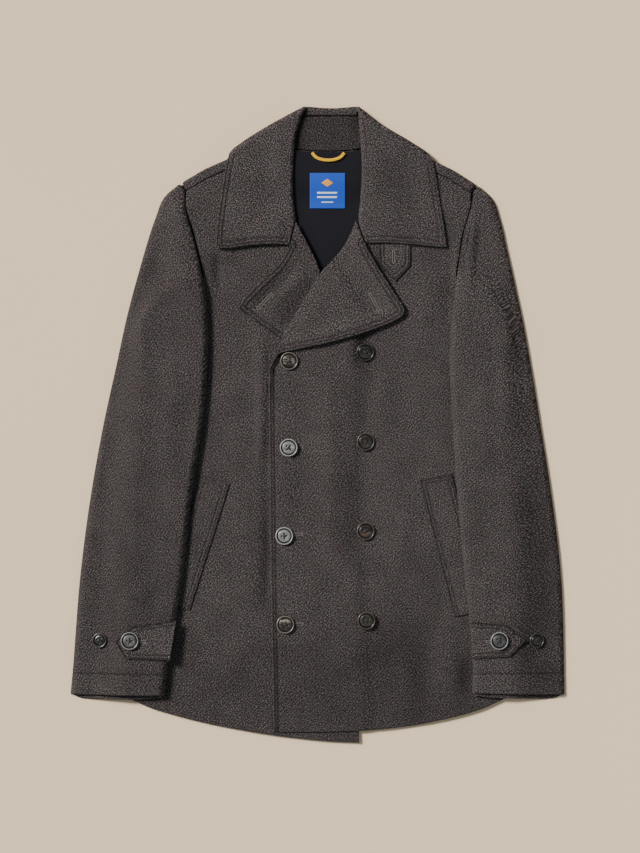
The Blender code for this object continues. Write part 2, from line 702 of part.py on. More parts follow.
def make_under_sleeve(name, table, back_edge):
    """The floor layer. Its outer strip runs on up to the sleeve head, beside the back panel."""
    under = []
    rows = sleeve_rows(table)[: STRIP_TOP + 1]
    clear = WOOL + SEAM
    for r, row in enumerate(rows):
        at, width = sleeve_axis(row)
        foot, top = sleeve_slope(row, width)
        foot = max(foot, clear + 4.0)
        if r <= UNDER_TOP:
            places = [clear, (clear + foot) / 2, foot, top, (top + width - clear) / 2, width - clear]
            heights = [0, 0, 0, SLEEVE_STEP, SLEEVE_STEP, SLEEVE_STEP]
        else:
            reach = abs(row["outer_x"] - np.interp(row["outer_y"], back_edge[1], back_edge[0]))
            reach -= SEAM + 0.8
            places = [clear, (clear + reach) / 2, reach, reach + 1, reach + 2, reach + 3]
            heights = [0] * 6
        under.append([(*at(d), z) for d, z in zip(places, heights)])
    under = np.array(under)
    down = under[0] - under[1]
    under[0] += down * (CUFF_BACK_DROP / np.linalg.norm(down, axis=1))[:, None]
    cells = np.ones((len(rows) - 1, 5), bool)
    cells[UNDER_TOP:, 2:] = False
    wall(name, under, raised(under, WOOL), BODY_WOOL, cells)


def sleeve_surface(table, x, y):
    """Height of a sleeve's upper face at a point near its cuff."""
    rows = sleeve_rows(table)
    for low, high in zip(rows, rows[1:]):
        if low["outer_y"] <= y <= high["outer_y"]:
            break
    share = (y - low["outer_y"]) / (high["outer_y"] - low["outer_y"])
    row = {key: low[key] * (1 - share) + high[key] * share for key in SLEEVE_COLUMNS}
    at, width = sleeve_axis(row)
    foot, top = sleeve_slope(row, width)
    place = abs(x - row["outer_x"])
    rise = min(max((place - foot) / (top - foot), 0.0), 1.0)
    base = WOOL + SLEEVE_HOLLOW
    return base + (row["lift"] - base) * rise + WOOL


# --- Small pieces ------------------------------------------------------------------------------


def make_flap(name, corners, height, thick, cols):
    """A small flat piece between its upper and lower edges, from its own corner points."""
    top_edge, low_edge = corners
    low = along(low_edge, cols, range(len(low_edge)))
    top = along(top_edge, cols, range(len(top_edge)))
    plan = np.stack([low, (low + top) / 2, top])
    under = with_height(plan, height)
    wall(name, under, raised(under, thick), BODY_WOOL)


def make_flaps():
    for side, corners in WELTS.items():
        a, b, c, d = corners
        if side == "right":
            height = under_front_height
        else:
            height = over_front_height
        make_flap(
            "pocket_welt_" + side,
            ([a, b], [d, c]),
            lambda x, y: height(x, y) + WOOL + SEAM,
            WELT,
            [0, 0.5, 1],
        )
    left_in, left_low, tip, right_low, right_in = THROAT_TAB
    make_flap(
        "throat_tab",
        ([left_in, ((left_in[0] + right_in[0]) / 2, left_in[1]), right_in], [left_low, tip, right_low]),
        lambda x, y: over_front_height(x, y) + WOOL + SEAM,
        TAB,
        [0, 0.5, 1],
    )
    for side, table in (("right", RIGHT_SLEEVE), ("left", LEFT_SLEEVE)):
        in_top, out_top, tip, out_low, in_low = TABS[side]
        make_flap(
            "cuff_tab_" + side,
            ([in_top, out_top, tip], [in_low, out_low, (tip[0], tip[1] - 1.0)]),
            lambda x, y: sleeve_surface(table, x, y) + SEAM + 0.2,
            TAB,
            [0, 0.2, 0.4, 0.55, 0.7, 0.82, 0.96],
        )


def make_button(name, across, centre, tilt=0.0):
    """A turned four-hole button: flat back, round edge, raised rim and dished middle."""
    radius = across / 2
    profile = [
        (0.0, 0.0),
        (radius - 1.6, 0.0),
        (radius, 0.45 * BUTTON_THICK),
        (radius - 0.6, 0.85 * BUTTON_THICK),
        (radius - 0.5 * BUTTON_RIM, BUTTON_THICK),
        (radius - BUTTON_RIM, BUTTON_THICK - BUTTON_DISH),
        (0.0, BUTTON_THICK - BUTTON_DISH),
    ]
    bm = bmesh.new()
    verts = [bm.verts.new((r, 0, z)) for r, z in profile]
    edges = [bm.edges.new(pair) for pair in zip(verts, verts[1:])]
    bmesh.ops.spin(
        bm,
        geom=verts + edges,
        cent=(0, 0, 0),
        axis=(0, 0, 1),
        angle=2 * math.pi,
        steps=BUTTON_SIDES,
        use_merge=True,
    )
    bmesh.ops.remove_doubles(bm, verts=bm.verts, dist=1e-3)
    made = add_object(name, bm, HORN)
    holes = []
    for k in range(4):
        angle = math.pi / 4 + k * math.pi / 2
        bm = bmesh.new()
        bmesh.ops.create_cone(
            bm, cap_ends=True, segments=HOLE_SIDES,
            radius1=HOLE_ACROSS / 2, radius2=HOLE_ACROSS / 2, depth=3 * BUTTON_THICK,
        )
        out = HOLE_SPACING / math.sqrt(2)
        bmesh.ops.translate(
            bm, vec=(out * math.cos(angle), out * math.sin(angle), BUTTON_THICK / 2), verts=bm.verts
        )
        hole = add_object(f"{name}_hole_{k}", bm, HORN)
        hole.hide_render = True
        hole.display_type = "WIRE"
        hole.parent = made
        holes.append(hole)
    for hole in holes:
        cut = made.modifiers.new(hole.name, "BOOLEAN")
        cut.object = hole
        cut.operation = "DIFFERENCE"
        cut.solver = "EXACT"
    made.location = [value * MM for value in centre]
    made.rotation_euler = (0, tilt, 0)
    made.data.shade_smooth()
    made.data.set_sharp_from_angle(angle=math.radians(40))
    return made


def make_buttons():
    for side, places in FRONT_BUTTONS.items():
        for k, (x, y) in enumerate(places, 1):
            z = over_front_height(x, y) + WOOL + SEAM
            make_button(f"button_{side}_{k}", BUTTON_ACROSS, (x, y, z))
    cuffs = (
        ("right", RIGHT_SLEEVE, -243.0, -282.0),
        ("left", LEFT_SLEEVE, 235.3, 283.5),
    )
    y = CUFF_BUTTON_Y
    for side, table, main_x, spare_x in cuffs:
        reach = BUTTON_ACROSS / 2
        z = max(sleeve_surface(table, main_x + d, y) for d in (-reach, 0, reach)) + TAB + 3 * SEAM
        make_button(f"button_cuff_{side}", BUTTON_ACROSS, (main_x, y, z))
        half = SPARE_ACROSS / 2
        low = sleeve_surface(table, spare_x - half, y)
        high = sleeve_surface(table, spare_x + half, y)
        tilt = -math.atan2(high - low, SPARE_ACROSS)
        middle = max((low + high) / 2, sleeve_surface(table, spare_x, y))
        make_button(f"button_spare_{side}", SPARE_ACROSS, (spare_x, y, middle + SEAM + 0.2), tilt)


def build():
    for old in list(bpy.data.objects):
        bpy.data.objects.remove(old)
    make_back()
    make_lining()
    make_loop()
    make_front(
        "front_right", UNDER_FRONT_CUT, under_front_height,
        [0, 1, 2, 3, 4, 5, 6, 7, 7.5, 8, 8.5, 9],
        [0, SIDE_DROP, 0.2, 0.35, 0.5, 0.65, 0.8, 0.9, 1], True,
    )
    make_front(
        "front_left", OVER_FRONT_CUT, over_front_height,
        [0, 1, 2, 3, 4, 5, 6, 7, 7.5, 8, 9, 9.5, 10, 10.5, 11],
        [0, 0.12, 0.25, 0.38, 0.46, 0.54, 0.68, 0.82, 1 - SIDE_DROP, 1], False,
    )
    make_lapels()
    make_collar()
    make_upper_sleeve("sleeve_right_upper", RIGHT_SLEEVE)
    make_upper_sleeve("sleeve_left_upper", LEFT_SLEEVE)
    right_edge = np.array(BACK_CUT["left"][3:], float).T
    left_edge = np.array(BACK_CUT["right"][3:], float).T
    make_under_sleeve("sleeve_right_under", RIGHT_SLEEVE, right_edge)
    make_under_sleeve("sleeve_left_under", LEFT_SLEEVE, left_edge)
    make_flaps()
    make_buttons()


build()
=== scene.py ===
"""Looks of a double-breasted pea coat that lies flat on its back: the fine cloth of every piece, its
topstitching and buttonholes, the horn buttons, the floor and the light.

Lengths are in millimetres until a mesh is made. "right" and "left" are the wearer's, so the wearer's
left is at +X; +Y runs towards the collar and +Z up from the floor. Each cloth piece is a middle
surface with half its thickness on each side, and its cuts repeat those of the construction.
"""

import math

import bmesh
import bpy
import numpy as np
from mathutils import Matrix, Vector
from mathutils.bvhtree import BVHTree


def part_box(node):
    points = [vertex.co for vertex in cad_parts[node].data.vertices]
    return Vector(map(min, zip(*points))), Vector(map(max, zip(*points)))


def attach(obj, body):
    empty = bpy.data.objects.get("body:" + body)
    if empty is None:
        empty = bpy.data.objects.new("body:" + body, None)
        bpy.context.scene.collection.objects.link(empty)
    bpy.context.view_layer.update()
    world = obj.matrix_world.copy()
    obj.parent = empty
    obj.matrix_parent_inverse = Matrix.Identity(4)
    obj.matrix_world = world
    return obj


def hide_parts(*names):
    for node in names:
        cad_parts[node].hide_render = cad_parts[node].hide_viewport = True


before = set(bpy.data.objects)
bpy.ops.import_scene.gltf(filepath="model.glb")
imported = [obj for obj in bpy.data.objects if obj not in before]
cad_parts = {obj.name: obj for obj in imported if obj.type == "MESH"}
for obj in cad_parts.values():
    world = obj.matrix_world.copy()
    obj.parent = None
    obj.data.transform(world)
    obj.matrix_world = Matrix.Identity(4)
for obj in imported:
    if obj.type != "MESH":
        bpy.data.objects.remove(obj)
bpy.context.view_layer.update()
MM = 0.001

# --- Cloth and layers ---

WOOL = 2.4  # melton wool coating
COLLAR = 3.0  # two layers of coating with canvas between them
LINING = 1.0
LABEL = 0.8
FLAP = 2.0  # welts and tabs
SEAM = 0.3  # space between pieces that are sewn to or lie on each other
BODY_HOLLOW = 2.4  # between the back and the fronts
SLEEVE_HOLLOW = 3.0
LINING_RISE = 0.6

FRONT = WOOL + BODY_HOLLOW  # the fronts' underside over the back's
OVER_STEP = WOOL + SEAM  # the over front lies this much higher on the under front
SLEEVE_STEP = FRONT + WOOL + SEAM + FLAP + SEAM
SLEEVE_LIFT = SLEEVE_STEP + WOOL + SLEEVE_HOLLOW
NECK_STEP = COLLAR + SEAM
LIP = WOOL + LINING_RISE + LINING + 0.4  # a collar roll's lower edge over the floor's rise

SHOULDER_WRAP = 13.0
EDGE_LIFT = 4.6  # a collar leaf's free edge stands this much off the front
LAPEL_LIFT = 3.8
STAND_SEAM_Y = 401.0
SLOPE = 45.0  # width over which a sleeve rises from the floor onto the body
NARROW = 45.0  # a section under this width has its edges' folds scaled down
SLEEVE_STAND = 3.2  # the right sleeve's inner edge stands this much off the body
HEAD_STAND = 4.0  # and this much more at the armhole
EDGE_TURN = 8.0  # reach of the round fold at a sleeve's edges
CUFF_ROW = 28.0  # the cuff's row of stitching lies this far up the sleeve
CUFF_BACK_DROP = 6.0  # a cuff's back layer shows this far below its upper one
UNDER_TOP = 6  # section where the part of the under layer that lies over the body ends
STRIP_TOP = 11  # and the one where its outer strip ends, at the back of the sleeve head

# The collar's back part raises the body's layers round the neck; the closing's line and roll.
NECK_CENTRE, FALL_REACH, FALL_LOW, FALL_BOW = 15.5, 132.0, 331.0, 14.0
RISE_START, RISE_RUN = 12.0, 36.0
CLOSING_X, CLOSING_BOW, CLOSING_TOP, ROLL_RUN = 55.0, 10.0, 62.0, 135.0

# Rows of topstitching: distances from the edge that they follow.
EDGE_ROWS, CLOSE_ROWS, FLAP_ROWS, HEM_ROWS = (2.9, 7.9), (3.0, 6.6), (2.2, 6.4), (24.0,)
CLOSING_STITCH_TOP = 66.0
FURROW = 1.1  # half width of the furrow under a row

# --- Lines and plans ---


def smooth(x):
    x = np.clip(x, 0, 1)
    return x * x * (3 - 2 * x)


def bell(away, wide):
    """1 where nothing is away, falling softly to almost 0 at twice the width."""
    return np.exp(-((away / wide) ** 2))


def rounded(d, radius):
    """1 inside a piece, falling along a quarter circle to 0 at its edge."""
    return np.sqrt(1 - (1 - np.clip(d / radius, 0, 1)) ** 2)


def unit(vectors):
    return vectors / np.linalg.norm(vectors, axis=1)[:, None]


def run_of(line):
    """Length along a line up to each of its points."""
    return np.concatenate([[0], np.cumsum(np.linalg.norm(np.diff(line, axis=0), axis=1))])


def through(points, at, corners=()):
    """The smooth line through the points, at an array of places counted in points."""
    p = np.array(points, float)
    gap = np.linalg.norm(np.diff(p, axis=0), axis=1)
    slope = np.diff(p, axis=0) / gap[:, None]
    start, end = slope.copy(), slope.copy()
    for k in range(1, len(p) - 1):
        if k not in corners:
            mean = gap[k] * slope[k - 1] + gap[k - 1] * slope[k]
            start[k] = end[k - 1] = mean / (gap[k] + gap[k - 1])
    at = np.clip(np.asarray(at, float), 0, len(p) - 1)
    i = np.minimum(at.astype(int), len(p) - 2)
    t = (at - i)[..., None]
    bend = t * t * (3 - 2 * t)
    arc = gap[i][..., None] * (start[i] * t * (1 - t) ** 2 - end[i] * t * t * (1 - t))
    return p[i] * (1 - bend) + p[i + 1] * bend + arc


def inward(line):
    """Unit normals of a line in plan, on its right."""
    ahead = unit(np.gradient(np.asarray(line, float), axis=0))
    return np.stack([ahead[:, 1], -ahead[:, 0]], axis=1)


def patch(cut, u, v):
    """Plan of a piece at shares across (u) and up (v), filled in between its four edges."""
    u, v = np.broadcast_arrays(np.asarray(u, float), np.asarray(v, float))
    across, up = u[..., None], v[..., None]
    plan = 0
    for side, weight in (("left", 1 - across), ("right", across), ("low", 1 - up), ("top", up)):
        points, corners = np.array(cut[side], float), cut.get(side + "_corners", ())
        if side in ("left", "right"):
            plan = plan + through(points, v * (len(points) - 1), corners) * weight
        else:
            share = run_of(points)
            line = through(points, np.interp(u, share / share[-1], np.arange(len(points))), corners)
            plan = plan + (line - points[0] * (1 - across) - points[-1] * across) * weight
    return plan


SIDES = ("left", "right", "low", "top")
PLAIN = np.array([0, 0.3, 0.9, 2.0, 4.0])  # offsets of the first lines inside a plain edge
STITCHED = np.array([0, 0.3, 0.8, 1.5, 2.1, 2.7, 3.3, 4.1, 5.2, 6.0, 6.6, 7.2, 7.9, 8.6, 9.6, 11.5])


def spaced(length, start, end, between):
    """Shares of a length: close to both ends as start and end say, and even in between."""
    fit = min(1.0, 0.4 * length / max(start[-1], end[-1]))
    a, b = start * fit, length - end[::-1] * fit
    return np.concatenate([a, np.linspace(a[-1], b[0], between + 2)[1:-1], b]) / length


def fine_plan(cut, step, stitched=(), up_to=None):
    """A fine grid over a piece, with close lines inside its edges.

    up_to(points) gives, where it is set, each column's distance from the edge where it must stop.
    """
    rim = {side: STITCHED if side in stitched else PLAIN for side in SIDES}
    us, vs = np.linspace(0, 1, 90), np.linspace(0, 1, 120)
    runs = [run_of(line) for line in patch(cut, us[None, :], vs[:, None])]
    between = int(max(run[-1] for run in runs) / step) + 1
    across = np.array([
        np.interp(spaced(run[-1], rim["left"], rim["right"], between), run / run[-1], us)
        for run in runs
    ])
    columns = patch(cut, across, vs[:, None]).swapaxes(0, 1)
    ends = np.ones(len(columns))
    if up_to is not None:
        ends = [np.interp(0, -up_to(column), vs) for column in columns]
    runs = [run_of(column) for column in columns]
    heights = [np.interp(end, vs, run) for end, run in zip(ends, runs)]
    between = int(max(heights) / step) + 1
    up = np.array([
        np.interp(spaced(h, rim["low"], rim["top"], between) * h, run, vs)
        for run, h in zip(runs, heights)
    ]).T
    u = np.stack([np.interp(up[:, c], vs, across[:, c]) for c in range(up.shape[1])], axis=1)
    return patch(cut, u, up)


def distance(points, *lines):
    """Distance from each point, in plan, to the nearest of some lines of points."""
    flat = points[..., :2].reshape(-1, 2)
    best = np.full(len(flat), 1e9)
    for line in lines:
        for start, step in zip(line[:-1], line[1:] - line[:-1]):
            away = flat - start
            t = np.clip(away @ step / (step @ step), 0, 1)
            best = np.minimum(best, np.hypot(*(away - t[:, None] * step).T))
    return best.reshape(points.shape[:-1])


def edge(cut, side):
    """One edge of a piece as a fine line."""
    share = np.linspace(0, 1, 60)
    if side in ("low", "top"):
        return patch(cut, share, 0.0 if side == "low" else 1.0)
    return patch(cut, 0.0 if side == "left" else 1.0, share)


def from_edges(points, cut, sides=SIDES):
    """Distance, in plan, from the nearest of a piece's edges."""
    return distance(points, *[edge(cut, side) for side in sides])


def seam_below(shoulder):
    """The front's edge at a shoulder seam, below the back panel's share of that shoulder."""
    line = np.array(shoulder, float)
    return [tuple(point) for point in line + inward(line) * (SHOULDER_WRAP + 2 * SEAM)]


# --- Cuts ---
# left and right hold one x, y for each section from the lower edge up; low and top run to the right.

SHOULDERS = {
    "right": [(-176, 314.5), (-147, 331.5), (-117, 344.5), (-60, 372)],
    "left": [(88, 374), (148, 344), (178, 329.5), (206.5, 311.5)],
}
BACK_NECK = [(-40, 360), (-15, 355.5), (13, 354.5), (42, 355.5), (70, 360)]
BACK_CUT = dict(
    left=[(-250, -350), (-238, -200), (-226, 0), (-222, 150), (-206, 196), (-192, 250), (-181, 298),
          (-176, 314.5)],
    right=[(250, -350), (241, -200), (237, 0), (240, 150), (226, 196), (215, 250), (209, 294),
           (206.5, 311.5)],
    low=[(-250, -350), (-180, -376), (-100, -392), (0, -396), (100, -390), (180, -375), (250, -350)],
    top=SHOULDERS["right"] + BACK_NECK + SHOULDERS["left"],
    left_corners=(3,), right_corners=(3,), top_corners=(1, 2, 3, 9, 10, 11),
)
UNDER_FRONT_CUT = dict(
    left=[(-252, -352), (-240, -200), (-228, 0), (-224, 150), (-190, 169), (-147.6, 190),
          (-154, 219), (-163, 254), (-170.6, 282), (-170.4, 302.7)],
    right=[(54, -413.3), (46, -200), (45, -40), (54, 62), (47, 108), (28, 152), (1, 197),
           (-27, 246), (-39, 290), (-54.2, 359.6)],
    low=[(-252, -352), (-220, -367), (-180, -379), (-140, -389), (-100, -396.7), (-40, -406),
         (31, -412.4), (54, -413.3)],
    top=seam_below(SHOULDERS["right"]),
    left_corners=(3, 5), right_corners=(3,), top_corners=(1, 2),
)
OVER_FRONT_CUT = dict(
    left=[(-57, -399.5), (-60, -230), (-62, -70), (-63.5, 74), (-50, 94), (-33, 126), (-13, 158),
          (11, 196), (52, 246), (62, 285), (68, 330), (82, 362.1)],
    right=[(252, -352), (243, -200), (239, -20), (241, 110), (242, 150), (212, 172), (179.9, 193),
           (183.1, 216), (188.9, 250), (194.3, 268), (198.5, 284), (199.4, 300.3)],
    low=[(-57, -399.5), (0, -399.5), (54, -398), (102, -394), (138, -388.6), (173, -381),
         (209, -371), (252, -352)],
    top=seam_below(SHOULDERS["left"]),
    left_corners=(3,), right_corners=(4, 6), top_corners=(1, 2),
)
UNDER_LAPEL_CUT = dict(
    left=[(-104, 151), (-97, 161), (-86, 173), (-70, 189), (-54, 204), (-44, 217), (-35.5, 232)],
    right=[(-44, 106), (-34.5, 126), (-15, 158), (5.5, 192), (-0.5, 209), (-11, 231), (-28, 263)],
    low=[(-104, 151), (-94, 143), (-76, 129), (-61.5, 119), (-44, 106)],
    top=[(-35.5, 232), (-28, 263)],
    right_corners=(3,),
)
OVER_LAPEL_CUT = dict(
    left=[(-60, 76), (-50, 103), (-35, 132), (-14, 167), (4.7, 197), (27.6, 222), (44, 250),
          (50, 266)],
    right=[(110, 140), (113, 147), (104, 164), (90, 186), (78, 205), (69, 221), (64.5, 229),
           (61.6, 235)],
    low=[(-60, 76), (-56, 86), (-47, 92.6), (-30, 96.6), (11, 105.3), (58, 118.5), (100, 134.5),
         (110, 140)],
    top=[(50, 266), (53.4, 256), (61.6, 235)],
)
LINING_CUT = dict(
    left=[(-12, 178), (-34, 228), (-48, 280), (-54, 325), (-45, 360)],
    right=[(22, 178), (52, 228), (74, 280), (80, 325), (74, 360)],
    low=[(-12, 178), (22, 178)],
    top=[(-45, 360), (-15, 354.6), (13, 353.6), (42, 354.6), (74, 360)],
)
STAND_CUT = dict(
    left=[(-40, 361), (-36, 378), (-21, 399.6)],
    right=[(70, 361), (67, 378), (55, 399.6)],
    low=[(-40, 361), (-15, 356.3), (13, 355.2), (42, 356.3), (70, 361)],
    top=[(-21, 399.6), (17, 400.2), (55, 399.6)],
)
# The collar's fall is one band: a leaf on each front, folded at each side of the neck, and a back
# part that lies on the floor. Each leaf's left edge is its roll, from the notch up.
RIGHT_LEAF_CUT = dict(
    left=[(-36.3, 233), (-28.5, 262), (-31, 290), (-31.5, 320), (-30, 356), (-27, 380), (-16, 413.3)],
    right=[(-132.5, 229.5), (-130.5, 256), (-127, 284), (-123.5, 307), (-120.5, 327), (-118, 340),
           (-115.5, 350.5)],
    low=[(-36.3, 233), (-60, 234), (-94, 231.6), (-118, 228.4), (-132.5, 229.5)],
    top=[(-16, 413.3), (-59, 390), (-100, 364.6), (-110, 357.5), (-115.5, 350.5)],
)
LEFT_LEAF_CUT = dict(
    left=[(62.2, 235.4), (53.4, 262), (55.2, 292), (57, 322), (56.5, 356), (54.5, 380),
          (52.5, 413.3)],
    right=[(167.5, 230), (164.5, 256), (160, 284), (156.5, 307), (153, 327), (150, 340),
           (146.5, 350)],
    low=[(62.2, 235.4), (81.5, 235.6), (124, 233.5), (150, 230.8), (167.5, 230)],
    top=[(52.5, 413.3), (81.5, 391), (124, 365), (140, 355), (146.5, 350)],
)
FALL_BACK_CUT = dict(
    left=[(-16, 413.3), (-59, 390), (-100, 364.6), (-115.5, 350.5)],
    right=[(52.5, 413.3), (81.5, 391), (124, 365), (146.5, 350)],
    low=[(-16, 413.3), (18, 411), (52.5, 413.3)],
    top=[(-115.5, 350.5), (-60, 336), (15, 331), (90, 336), (146.5, 350)],
)

# Sleeve sections from the cuff up: the outer and inner edge's x and y, and the body's edge below.
# Each has its upper layer's underside at the inner edge, and 1 where that edge is a loose fold over
# the body or 0 where it is sewn to the front.
SLEEVE_RISE = [(SLEEVE_LIFT, 1)] * 7 + [(SLEEVE_LIFT - 1, 1), (FRONT + WOOL + 1, 1)]
SLEEVE_RISE += [(FRONT, 0)] * 4
SLEEVES = {
    "right": [
        (-321.3, -350.5, -198.5, -351.5, -252), (-318.5, -320, -195, -322, -249.5),
        (-309, -200, -176, -210, -240), (-293, -80, -161.5, -80, -232.5),
        (-278.5, 0, -149, 0, -228), (-261, 80, -142.3, 85, -225.5), (-248, 140, -142.6, 142, -224),
        (-239, 175, -145, 168, -196), (-232, 200, -148.5, 190, -172),
        (-224, 228, -154.9, 219, -165), (-212, 265, -164, 254, -176),
        (-199, 295, -171.5, 282, -180), (-179, 312, -172, 303.6, -174),
    ],
    "left": [
        (321.3, -351, 200, -348.5, 252), (320.8, -320, 201, -320, 250.5),
        (317, -200, 191.5, -205, 243), (302.6, -80, 180, -80, 240), (290, 0, 175, 0, 239),
        (277, 80, 171.3, 80, 240), (266, 140, 174, 140, 242), (259, 172, 177.5, 168, 216),
        (253, 200, 180.8, 193, 198), (247, 226, 184, 216, 194), (238, 265, 191, 254, 203),
        (227, 293, 199.5, 284, 209), (210, 308.5, 203, 303.6, 205),
    ],
}
for rows in SLEEVES.values():
    rows[:] = [(*row, *rise) for row, rise in zip(rows, SLEEVE_RISE)]

# Corners of the flaps: at the top, at the low side, and a tab's tip between them.
WELTS = {
    "right": [(-149, -64), (-114, -77), (-166, -242), (-201, -229)],
    "left": [(133, -72), (174.6, -64), (220, -242), (178, -250)],
}
TABS = {
    "right": [(-182.5, -253), (-240, -262), (-262, -281), (-248, -304), (-191, -306)],
    "left": [(198.5, -256), (244, -259), (270, -280), (249.5, -301.5), (201.5, -304)],
}
THROAT_TAB = [(80, 243), (81, 207), (101, 185), (121, 206), (121, 243)]


def halved(a, b):
    return [a, ((a[0] + b[0]) / 2, (a[1] + b[1]) / 2), b]


FLAP_CUTS = {}
for side, (a, b, c, d) in WELTS.items():
    FLAP_CUTS["pocket_welt_" + side] = dict(
        left=halved(d, a), right=halved(c, b), low=[d, c], top=[a, b])
a, d, tip, c, b = THROAT_TAB
FLAP_CUTS["throat_tab"] = dict(
    left=halved(d, a), right=halved(c, b), low=[d, tip, c], top=[a, b], low_corners=(1,))
for side, (a, b, tip, c, d) in TABS.items():
    FLAP_CUTS["cuff_tab_" + side] = dict(
        left=halved(d, a), right=[c, tip, b], low=[d, c], top=[a, b], right_corners=(1,))

LOOP_ROUTE = [(-7, 352.5), (-2, 347), (6, 343.8), (14, 343), (22, 343.8), (30, 347), (35, 352.5)]
LOOP_HIGH = 3.0
LABEL_BOX = (-10.0, 280.5, 36.0, 326.5)

# --- Heights and folds ---


def neck_rise(x, y):
    """How far the body's layers lie over the floor, on the collar's back part and around it."""
    across = np.abs(x - NECK_CENTRE)
    low_edge = FALL_LOW + FALL_BOW * (across / FALL_REACH) ** 2
    inside = np.minimum(y - low_edge, FALL_REACH - across) + RISE_START
    return NECK_STEP * smooth(1 + inside / RISE_RUN)


def over_rise(x, y, further=0.0):
    """1 where the over front lies on the under front, falling to 0 beyond that one's hidden edge."""
    up = np.clip((y - CLOSING_TOP) / ROLL_RUN, 0, 1.6)
    bowed = CLOSING_BOW * smooth((y + 400) / 200) * smooth((CLOSING_TOP - y) / 100)
    under_edge = CLOSING_X - bowed - (CLOSING_X - 1.0) * up**1.5
    return smooth((under_edge + further + 22.0 - x) / 20.0)


# Folds that lie in the cloth: from x, y to x, y, bow to its left, height (a hollow below 0), width.
# Each fades out at both ends.
BODY_CREASES = [
    (-78, 124, -76, -60, 6, 3.6, 8), (-66, 60, -66, -110, 0, -1.8, 5),
    (-67, -90, -68, -250, 0, -2.6, 7), (-100, 70, -104, -60, -3, 1.6, 20),
    (-124, 20, -122, -120, 0, -1.4, 13), (-131, 228, -128, 168, 0, -2.2, 7),
    (16, 70, 14, -190, 3, 2.8, 12), (62, 124, 55, 66, -1, -3.6, 9), (57, 60, 52, -50, 2, -2.4, 12),
    (52, -30, 47, -190, 0, -2.8, 12), (84, 70, 88, -90, -3, 1.8, 17),
    (-20, 60, -24, -120, 2, -1.2, 12), (168, -176, 82, -312, 8, -3.4, 26),
    (152, -215, 130, -372, 0, -2.4, 15), (112, -100, 104, -200, 2, 1.8, 12),
    (170, -260, 164, -350, 0, 1.2, 12), (-20, -240, -130, -340, -6, 1.6, 22),
    (-60, -292, 40, -340, -5, -1.8, 20), (-90, -180, -110, -330, 4, 1.4, 18),
    (176, 250, 172, 120, -2, -1.4, 8), (150, 205, 132, 120, 4, 1.4, 12),
    (-124, 150, -118, 60, 2, 1.2, 12), (140, 30, 132, -60, 0, -1.2, 13),
]
SLEEVE_CREASES = [
    (-196, 262, -178, 150, 5, 2, 16), (-226, 190, -206, 60, 4, -1.8, 18),
    (-180, 90, -196, -90, -4, 1.6, 15), (-250, 60, -232, -80, 6, 1.4, 20),
    (-214, -60, -240, -190, 5, -1.8, 20), (-270, -90, -262, -230, 3, 1.4, 17),
    (-205, -205, -228, -256, 2, -1.8, 9), (-300, -225, -262, -300, -3, -1, 14),
    (200, 290, 195, 172, 2, 2.6, 7), (212, 262, 214, 160, -2, -1.4, 9),
    (224, 240, 232, 130, -4, -1, 16), (206, 120, 212, -60, 4, 1.6, 13),
    (240, 130, 250, -20, 3, 1.4, 16), (232, -40, 222, -190, -5, -1.2, 16),
    (252, -50, 262, -210, 3, 1.4, 12), (282, -70, 290, -250, 2, -1.6, 15),
    (212, -200, 218, -252, 2, 1.6, 10), (300, -215, 286, -310, -4, -1.2, 15),
]
UNDER_LAPEL_CREASES = [
    (-88, 146, -24, 214, -2, -2.8, 7), (-68, 142, -12, 202, 0, 1.6, 7),
    (-50, 122, -2, 192, -2, -2.8, 7), (-92, 158, -46, 212, -2, 1, 6),
]
OVER_LAPEL_CREASES = [
    (-30, 112, 40, 196, 6, 1.6, 15), (20, 116, 76, 176, -5, -0.8, 16), (60, 214, 96, 158, 3, 1, 11),
]
LEAF_CREASES = [
    (-72, 356, -64, 262, 6, -1.2, 20), (-104, 350, -112, 262, -3, 1.4, 14),
    (-46, 380, -52, 300, 0, 1, 12), (112, 350, 110, 262, 4, -1.8, 22),
    (76, 372, 72, 280, 0, 1.6, 11), (142, 330, 148, 262, -2, 1, 10),
]
# Painted shade in hollows, creases and under edges: centre, reach across and up, and how dark
# it is painted, from 0 to 1.
BODY_HOLLOW_SHADE = [
    (57, 98, 12, 30, 0.75), (92, 178, 8, 16, 0.4), (80, 204, 7, 22, 0.45), (56, 30, 11, 50, 0.28),
    (49, -110, 13, 75, 0.34), (0, -105, 38, 60, 0.1), (-67, -165, 5, 62, 0.7),
    (-49, 89, 5, 2.5, 0.75), (-54.5, 82, 3, 5, 0.8), (-57, 70, 2.2, 10, 0.8),
    (-58, 48, 2.2, 16, 0.45), (150, -215, 16, 38, 0.26), (118, -268, 30, 34, 0.34),
    (82, -305, 34, 28, 0.24), (130, -335, 16, 44, 0.34), (188, -326, 11, 30, 0.6),
    (-130, -330, 50, 40, 0.14), (-95, -120, 30, 120, 0.07), (0, -330, 60, 40, 0.16),
    (40, -300, 70, 60, 0.08), (-132, 204, 6, 26, 0.5), (-112, 214, 16, 10, 0.25),
    (150, 214, 12, 16, 0.25), (140, 20, 12, 60, 0.04),
]
SLEEVE_HOLLOW_SHADE = [
    (292, -120, 28, 90, 0.26), (292, -235, 30, 90, 0.44), (268, -290, 16, 26, 0.4),
    (292, -330, 34, 30, 0.26), (-205, -215, 24, 60, 0.14), (-250, 50, 52, 150, 0.2),
    (-262, -240, 62, 150, 0.3), (-218, 190, 42, 46, 0.24), (218, 188, 40, 60, 0.1),
    (245, -110, 50, 70, 0.1),
]
LEAF_HOLLOW_SHADE = [
    (112, 305, 26, 50, 0.16), (95, 310, 50, 60, 0.07), (-125, 262, 8, 40, 0.2),
    (-60, 300, 30, 50, 0.05),
]


